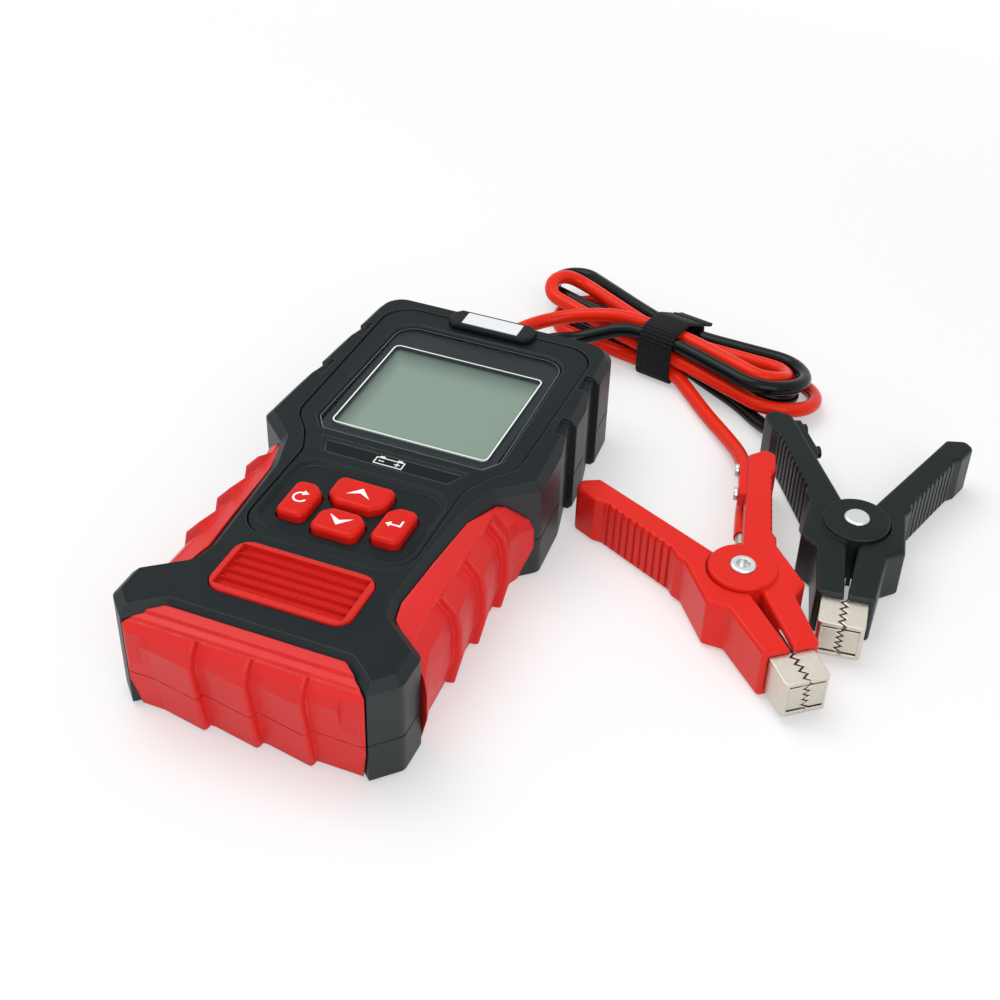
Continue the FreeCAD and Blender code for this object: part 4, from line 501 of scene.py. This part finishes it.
LEAD_OUT = {
    "red": [(58.5, 118.5, 3.2), (68.4, 107.4, 3.0), (78.0, 97.0, 3.8), (85.6, 86.9, 5.4),
            (90.1, 76.9, 6.2), (92.9, 66.3, 6.2), (94.8, 55.4, 6.2), (97.4, 45.0, 6.2)],
    "black": [(64.0, 126.0, 2.9), (76.0, 119.0, 2.8), (86.2, 110.0, 2.9), (94.0, 102.2, 6.2),
              (101.7, 94.2, 6.2), (107.3, 84.6, 6.2), (113.4, 76.0, 6.2)],
}


def plated_metal(name, dark, light, roughness):
    """Plated metal: silver with fine drawing marks from the press that shaped it."""
    material, output = new_material(name)
    place = add(material, "ShaderNodeTexCoord")
    stretch = add(material, "ShaderNodeMapping", {"Vector": place.outputs["Object"], "Scale": (1, 1, 0.15)})
    marks = noise(material, stretch.outputs["Vector"], 0.5 * MM, 3.0)
    bump = add(material, "ShaderNodeBump", {
        "Height": marks, "Strength": 0.3, "Distance": 0.02 * MM, "Normal": soft_edge(material, 0.5 * MM)})
    shader = add(material, "ShaderNodeBsdfPrincipled", {
        "Base Color": mixed(material, marks, linear(dark), linear(light)), "Metallic": 1.0,
        "Roughness": ranged(material, marks, after=(roughness - 0.06, roughness + 0.1)),
        "Normal": bump.outputs["Normal"]})
    return finish_material(material, output, shader)


SLEEVE_TIN = plated_metal("tinned_copper", "#b4aea4", "#cfc9be", 0.4)
SLEEVE_RADIUS = 1.9 * MM
SLEEVE_OVERLAP = 1.0 * MM
SLEEVE_REACH = 4.5 * MM
SLEEVE_SIDES = 20


def crimp_sleeve(name, before, tip):
    """The sleeve crimped on the bare end of a lead, as a short round bar that goes on from it."""
    along = (tip - before).normalized()
    across = along.cross(Vector((0, 0, 1))).normalized()
    rise = across.cross(along)
    spokes = [across * math.cos(angle) + rise * math.sin(angle)
              for angle in (math.tau * side / SLEEVE_SIDES for side in range(SLEEVE_SIDES))]
    points = [tip + along * reach + spoke * SLEEVE_RADIUS
              for reach in (-SLEEVE_OVERLAP, SLEEVE_REACH) for spoke in spokes]
    faces = [tuple(range(SLEEVE_SIDES)), tuple(reversed(range(SLEEVE_SIDES, 2 * SLEEVE_SIDES)))]
    for side in range(SLEEVE_SIDES):
        onward = (side + 1) % SLEEVE_SIDES
        faces.append((side, side + SLEEVE_SIDES, onward + SLEEVE_SIDES, onward))
    sleeve = new_piece(name, points, faces, SLEEVE_TIN)
    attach(sleeve, "tester")
    return sleeve


def hank_points(colour):
    """Control points of the folded stretch, pass by pass."""
    points = []
    for number, (across, layer) in enumerate(SLOTS[colour]):
        ahead = 1 if number % 2 == 0 else -1
        height = STRAP_LAYER + layer * STRAND_PITCH
        points += [(-ahead * STRAP_HALF_RUN, across, height), (ahead * STRAP_HALF_RUN, across, height)]
        if number == len(FOLDS[colour]):
            break
        straight_end, straight_start = STRAIGHT_ENDS[colour][number]
        reach, start, end, layers = FOLDS[colour][number]
        bend = abs(end - start) / 2
        angles = FOLD_ANGLES[number % 2]
        corner = bend / math.cos(math.radians(angles[1] - angles[0]) / 2)
        turn = math.copysign(1, end - start)
        points.append(straight_end)
        for angle, level in zip(angles, layers):
            points.append((ahead * (reach - bend + corner * math.cos(math.radians(angle))),
                           (start + end) / 2 + turn * corner * math.sin(math.radians(angle)),
                           FLOOR_LAYER + level * STRAND_PITCH))
        points.append(straight_start)
    return [HANK_PLACE @ (Vector(point) * MM) for point in points]


def lead(colour):
    """One lead as a single smooth curve from its gland to its clamp."""
    points = [Vector(point) * MM for point in LEAD_IN[colour]] + hank_points(colour)
    points += [Vector(point) * MM for point in LEAD_OUT[colour]]
    curve = bpy.data.curves.new(colour + "_lead", "CURVE")
    curve.dimensions = "3D"
    curve.bevel_depth = CORD_DIAMETER / 2
    curve.bevel_resolution = 6
    curve.resolution_u = 8
    curve.use_fill_caps = True
    spline = curve.splines.new("NURBS")
    spline.points.add(len(points) - 1)
    for place, point in zip(spline.points, points):
        place.co = (*point, 1.0)
    spline.order_u = 3
    spline.use_endpoint_u = True
    cord = bpy.data.objects.new(colour + "_lead", curve)
    bpy.context.collection.objects.link(cord)
    shade(cord, LEAD_PVC[colour])
    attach(cord, "tester")
    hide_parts(*[colour + "_lead_" + stretch for stretch in ("start", "hank", "end")])
    clamp_nodes = ("fixed_arm", "moving_arm", "fixed_jaw", "moving_jaw", "rivet", "cable_screws")
    pieces = [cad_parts["%s_%s" % (colour, name)] for name in clamp_nodes]
    pieces += [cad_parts[colour + "_gland"], crimp_sleeve(colour + "_crimp_sleeve", *points[-2:])]
    shade_nodes((colour + "_gland",), LEAD_PVC[colour])


for colour in ("red", "black"):
    lead(colour)

# Strap
# A band of black hook-and-loop tape, woven of nylon, is pulled round the waist of the hank. Its loose end
# stands away at the back.
STRAP_WIDTH = 13.0
STRAP_THICKNESS = 1.2
STRAP_EDGE = 0.35


def woven_nylon(name):
    """Woven nylon tape: rows of loops with a little fuzz, with painted shade between the rows and painted
    highlight on the loops.

    Real rows are about half a millimetre apart. They are drawn twice as coarse, so that they show.
    """
    material, output = new_material(name)
    place = add(material, "ShaderNodeTexCoord")
    rows = [add(material, "ShaderNodeTexWave", {
        "Vector": place.outputs["UV"], "Scale": math.pi / 10 / pitch, "Distortion": 1.5,
        "Detail": 2.0, "Detail Scale": 2.0}, bands_direction=direction)
        for pitch, direction in ((1.1, "X"), (0.9, "Y"))]
    threads = combined(material, "MULTIPLY", rows[0].outputs["Fac"], rows[1].outputs["Fac"])
    fuzz = add(material, "ShaderNodeTexNoise",
               {"Vector": place.outputs["UV"], "Scale": 0.9, "Detail": 6.0})
    height = combined(material, "MULTIPLY", threads, fuzz.outputs["Fac"])
    bump = add(material, "ShaderNodeBump", {"Height": height, "Strength": 0.8, "Distance": 0.25 * MM})
    # The base colour follows the loop height: painted shade between the rows, painted highlight on the tops
    # of the loops.
    shader = add(material, "ShaderNodeBsdfPrincipled", {
        "Base Color": mixed(material, height, linear("#060708"), linear("#3a4144")),
        "Roughness": 0.75, "Specular IOR Level": 0.1,
        "Sheen Weight": 0.04, "Sheen Roughness": 0.5, "Normal": bump.outputs["Normal"]})
    return finish_material(material, output, shader)


def band(name, path, closed, material):
    """A flat tape of one thickness laid along a path across the hank."""
    count = len(path)
    mesh = bpy.data.meshes.new(name)
    build = bmesh.new()
    layer = build.loops.layers.uv.new("UVMap")
    rails = []
    travelled = 0.0
    for number, point in enumerate(path):
        before = path[number - 1] if closed or number > 0 else point
        after = path[(number + 1) % count] if closed or number < count - 1 else point
        along = (after - before).normalized()
        outward = Vector((along.y, -along.x))
        travelled += (point - path[number - 1]).length if number else 0.0
        row = []
        for thickness in (0.0, STRAP_THICKNESS):
            spot = point + outward * thickness
            for side in (-STRAP_WIDTH / 2, STRAP_WIDTH / 2):
                corner = HANK_PLACE @ (Vector((side, spot.x, spot.y)) * MM)
                row.append((build.verts.new(corner), (travelled, side)))
        rails.append(row)
    for number in range(count if closed else count - 1):
        here, there = rails[number], rails[(number + 1) % count]
        for first, second in ((0, 1), (1, 3), (3, 2), (2, 0)):
            corners = (here[first], here[second], there[second], there[first])
            face = build.faces.new([corner[0] for corner in corners])
            face.smooth = True
            for loop, corner in zip(face.loops, corners):
                loop[layer].uv = corner[1]
    if not closed:
        for row in (rails[0], rails[-1]):
            build.faces.new([row[place][0] for place in (0, 1, 3, 2)])
    bmesh.ops.recalc_face_normals(build, faces=build.faces)
    build.to_mesh(mesh)
    build.free()
    piece = bpy.data.objects.new(name, mesh)
    bpy.context.collection.objects.link(piece)
    shade(piece, material)
    bevel = piece.modifiers.new("soft_edges", "BEVEL")
    bevel.width = STRAP_EDGE * MM
    bevel.segments = 2
    bevel.limit_method = "ANGLE"
    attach(piece, "tester")
    return piece


tape = woven_nylon("woven_nylon_tape")
LOOP_MARGIN = 3.0
LOOP_SIDE = OUTER_SLOT + LOOP_MARGIN
LOOP_CORNERS = [((-LOOP_SIDE, 1.5), 2.6), ((LOOP_SIDE, 1.5), 2.6), ((LOOP_SIDE, 13.0), 3.0),
                ((0.5, 18.8), 6.0), ((-LOOP_SIDE, 18.8), 4.5)]
TAIL_POINTS = ((18.8, 9.6), (17.0, 10.3), (15.2, 11.2), (13.4, 12.2), (11.9, 13.0))
strap = band("cord_strap_band", rounded_path(LOOP_CORNERS), True, tape)
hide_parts("cord_strap")
tail = band("cord_strap_tail", [Vector(point) for point in TAIL_POINTS], False, tape)

# Clamps
# Each clamp has two moulded ABS arms on a zinc rivet, hollow on the red clamp and closed on the black one,
# and two folded jaws of nickel plated steel with teeth. The lead lies in a channel of one handle, where two
# small screws on a saddle hold it.
CLAMP_PLASTIC = {
    "red": grained_plastic("red_clamp_abs", "#d01d15", "#dc271b", 0.34, grain=0.3 * MM, gloss=0.14,
                           polish=0.25),
    "black": grained_plastic("black_clamp_abs", "#13191a", "#192021", 0.4, grain=0.3 * MM, gloss=0.1,
                             polish=0.4),
}
jaw_nickel = plated_metal("nickel_plated_steel", "#c4beb2", "#ddd7cc", 0.3)
rivet_zinc = plated_metal("bright_zinc", "#c3c6c6", "#dadddd", 0.3)
screw_zinc = plated_metal("zinc_plated_steel", "#a9a9a8", "#cfcfcc", 0.32)
black_screw = plated_metal("black_oxide_steel", "#1c1f20", "#2c3031", 0.4)
CABLE_SCREW_STEEL = {"red": screw_zinc, "black": black_screw}
for colour in ("red", "black"):
    shade_nodes((colour + "_fixed_arm", colour + "_moving_arm"), CLAMP_PLASTIC[colour])
    shade_nodes((colour + "_fixed_jaw", colour + "_moving_jaw"), jaw_nickel)
    shade_nodes((colour + "_rivet",), rivet_zinc)
    shade_nodes((colour + "_cable_screws",), CABLE_SCREW_STEEL[colour])

# Inside and underneath
# A green circuit board hangs under the front cover on small screws, with the key switches, a buzzer and a
# ceramic load resistor on it. Zinc plated screws from behind hold the two covers together.
shade_nodes(("case_screws", "board_screws"), screw_zinc)
shade_nodes(("main_board",), grained_plastic("green_solder_mask", "#123a22", "#17482b", 0.35))
shade_nodes(("tact_switches", "buzzer"), tab_abs)
shade_nodes(("load_resistor",), grained_plastic("cast_ceramic", "#c9c6bd", "#d8d5cc", 0.7))

# Studio
# The tester lies on a sweep of white paper, under one large soft lamp above and a weaker one in front, as
# in a product picture. The paper shows soft shadows near the tester and is pure white further off.
FLOOR_REACH = 3.0
SHADOW_REACH = (0.2, 0.5)
PAPER_GLOW = (0.38, 1.0)
WORLD_LEVEL = (0.55, 1.0)
LAMP_SIZE = 0.8
LAMP_AIM = Vector((0.03, 0.0, 0.0))


def seen_rays(holder):
    """One for rays that show the background: from the camera, off a gloss or through something clear."""
    path = add(holder, "ShaderNodeLightPath")
    seen = path.outputs["Is Camera Ray"]
    for kind in ("Is Glossy Ray", "Is Transmission Ray"):
        seen = combined(holder, "MAXIMUM", seen, path.outputs[kind])
    return seen


def studio_white(name):
    """Matt white paper that keeps the soft shadows near the tester and goes over into white further off."""
    material, output = new_material(name)
    matt = add(material, "ShaderNodeBsdfDiffuse", {"Color": linear("#efeff0")})
    glow = add(material, "ShaderNodeEmission", {"Color": linear("#ffffff"), "Strength": 1.0})
    place = add(material, "ShaderNodeTexCoord")
    reach = add(material, "ShaderNodeVectorMath", {0: place.outputs["Object"]}, operation="LENGTH")
    fade = ranged(material, reach.outputs["Value"], SHADOW_REACH, PAPER_GLOW)
    share = combined(material, "MULTIPLY", seen_rays(material), fade)
    mix = add(material, "ShaderNodeMixShader", {0: share, 1: matt.outputs[0], 2: glow.outputs[0]})
    return finish_material(material, output, mix)


floor_corners = rectangle(-FLOOR_REACH, -FLOOR_REACH, FLOOR_REACH, FLOOR_REACH)
floor = new_piece("floor", [(x, y, 0) for x, y in floor_corners], [(0, 1, 2, 3)],
                  studio_white("white_paper_sweep"))

world = bpy.data.worlds.new("studio")
bpy.context.scene.world = world
world.use_nodes = True
world.node_tree.nodes.clear()
level = ranged(world, seen_rays(world), after=WORLD_LEVEL)
sky = add(world, "ShaderNodeBackground", {"Color": linear("#ffffff"), "Strength": level})
add(world, "ShaderNodeOutputWorld", {"Surface": sky.outputs[0]})


def soft_lamp(name, place, power):
    """A large square lamp that looks at the tester."""
    lamp = bpy.data.lights.new(name, "AREA")
    lamp.shape = "SQUARE"
    lamp.size = LAMP_SIZE
    lamp.energy = power
    holder = bpy.data.objects.new(name, lamp)
    bpy.context.collection.objects.link(holder)
    holder.location = place
    holder.rotation_euler = (LAMP_AIM - Vector(place)).to_track_quat("-Z", "Y").to_euler()


soft_lamp("overhead_softbox", (-0.35, 0.12, 0.95), 6.0)
soft_lamp("front_fill", (0.6, -0.7, 0.6), 5.0)

# Camera
# It stands in front of the tail, a little to the right and well above, as the photograph was taken. Its
# place, its slight roll and its focal length were fitted to the photograph.
CAMERA_AZIMUTH = math.radians(21.14)
CAMERA_ELEVATION = math.radians(38.07)
CAMERA_ROLL = math.radians(1.94)
CAMERA_TARGET = Vector((36.43, -0.98, 34.0)) * MM
CAMERA_DISTANCE = 450.75 * MM
FOCAL_LENGTH = 57.6
SENSOR_WIDTH = 36.0
back = Vector((math.sin(CAMERA_AZIMUTH) * math.cos(CAMERA_ELEVATION),
               -math.cos(CAMERA_AZIMUTH) * math.cos(CAMERA_ELEVATION), math.sin(CAMERA_ELEVATION)))
right = Vector((math.cos(CAMERA_AZIMUTH), math.sin(CAMERA_AZIMUTH), 0))
up = back.cross(right)
turned_right = right * math.cos(CAMERA_ROLL) + up * math.sin(CAMERA_ROLL)
turned_up = up * math.cos(CAMERA_ROLL) - right * math.sin(CAMERA_ROLL)
camera_data = bpy.data.cameras.new("camera")
camera_data.lens = FOCAL_LENGTH
camera_data.sensor_width = SENSOR_WIDTH
camera = bpy.data.objects.new("camera", camera_data)
bpy.context.collection.objects.link(camera)
turn = Matrix((turned_right, turned_up, back)).transposed()
camera.matrix_world = Matrix.Translation(CAMERA_TARGET + back * CAMERA_DISTANCE) @ turn.to_4x4()
bpy.context.scene.camera = camera
bpy.context.scene.view_settings.view_transform = "Standard"
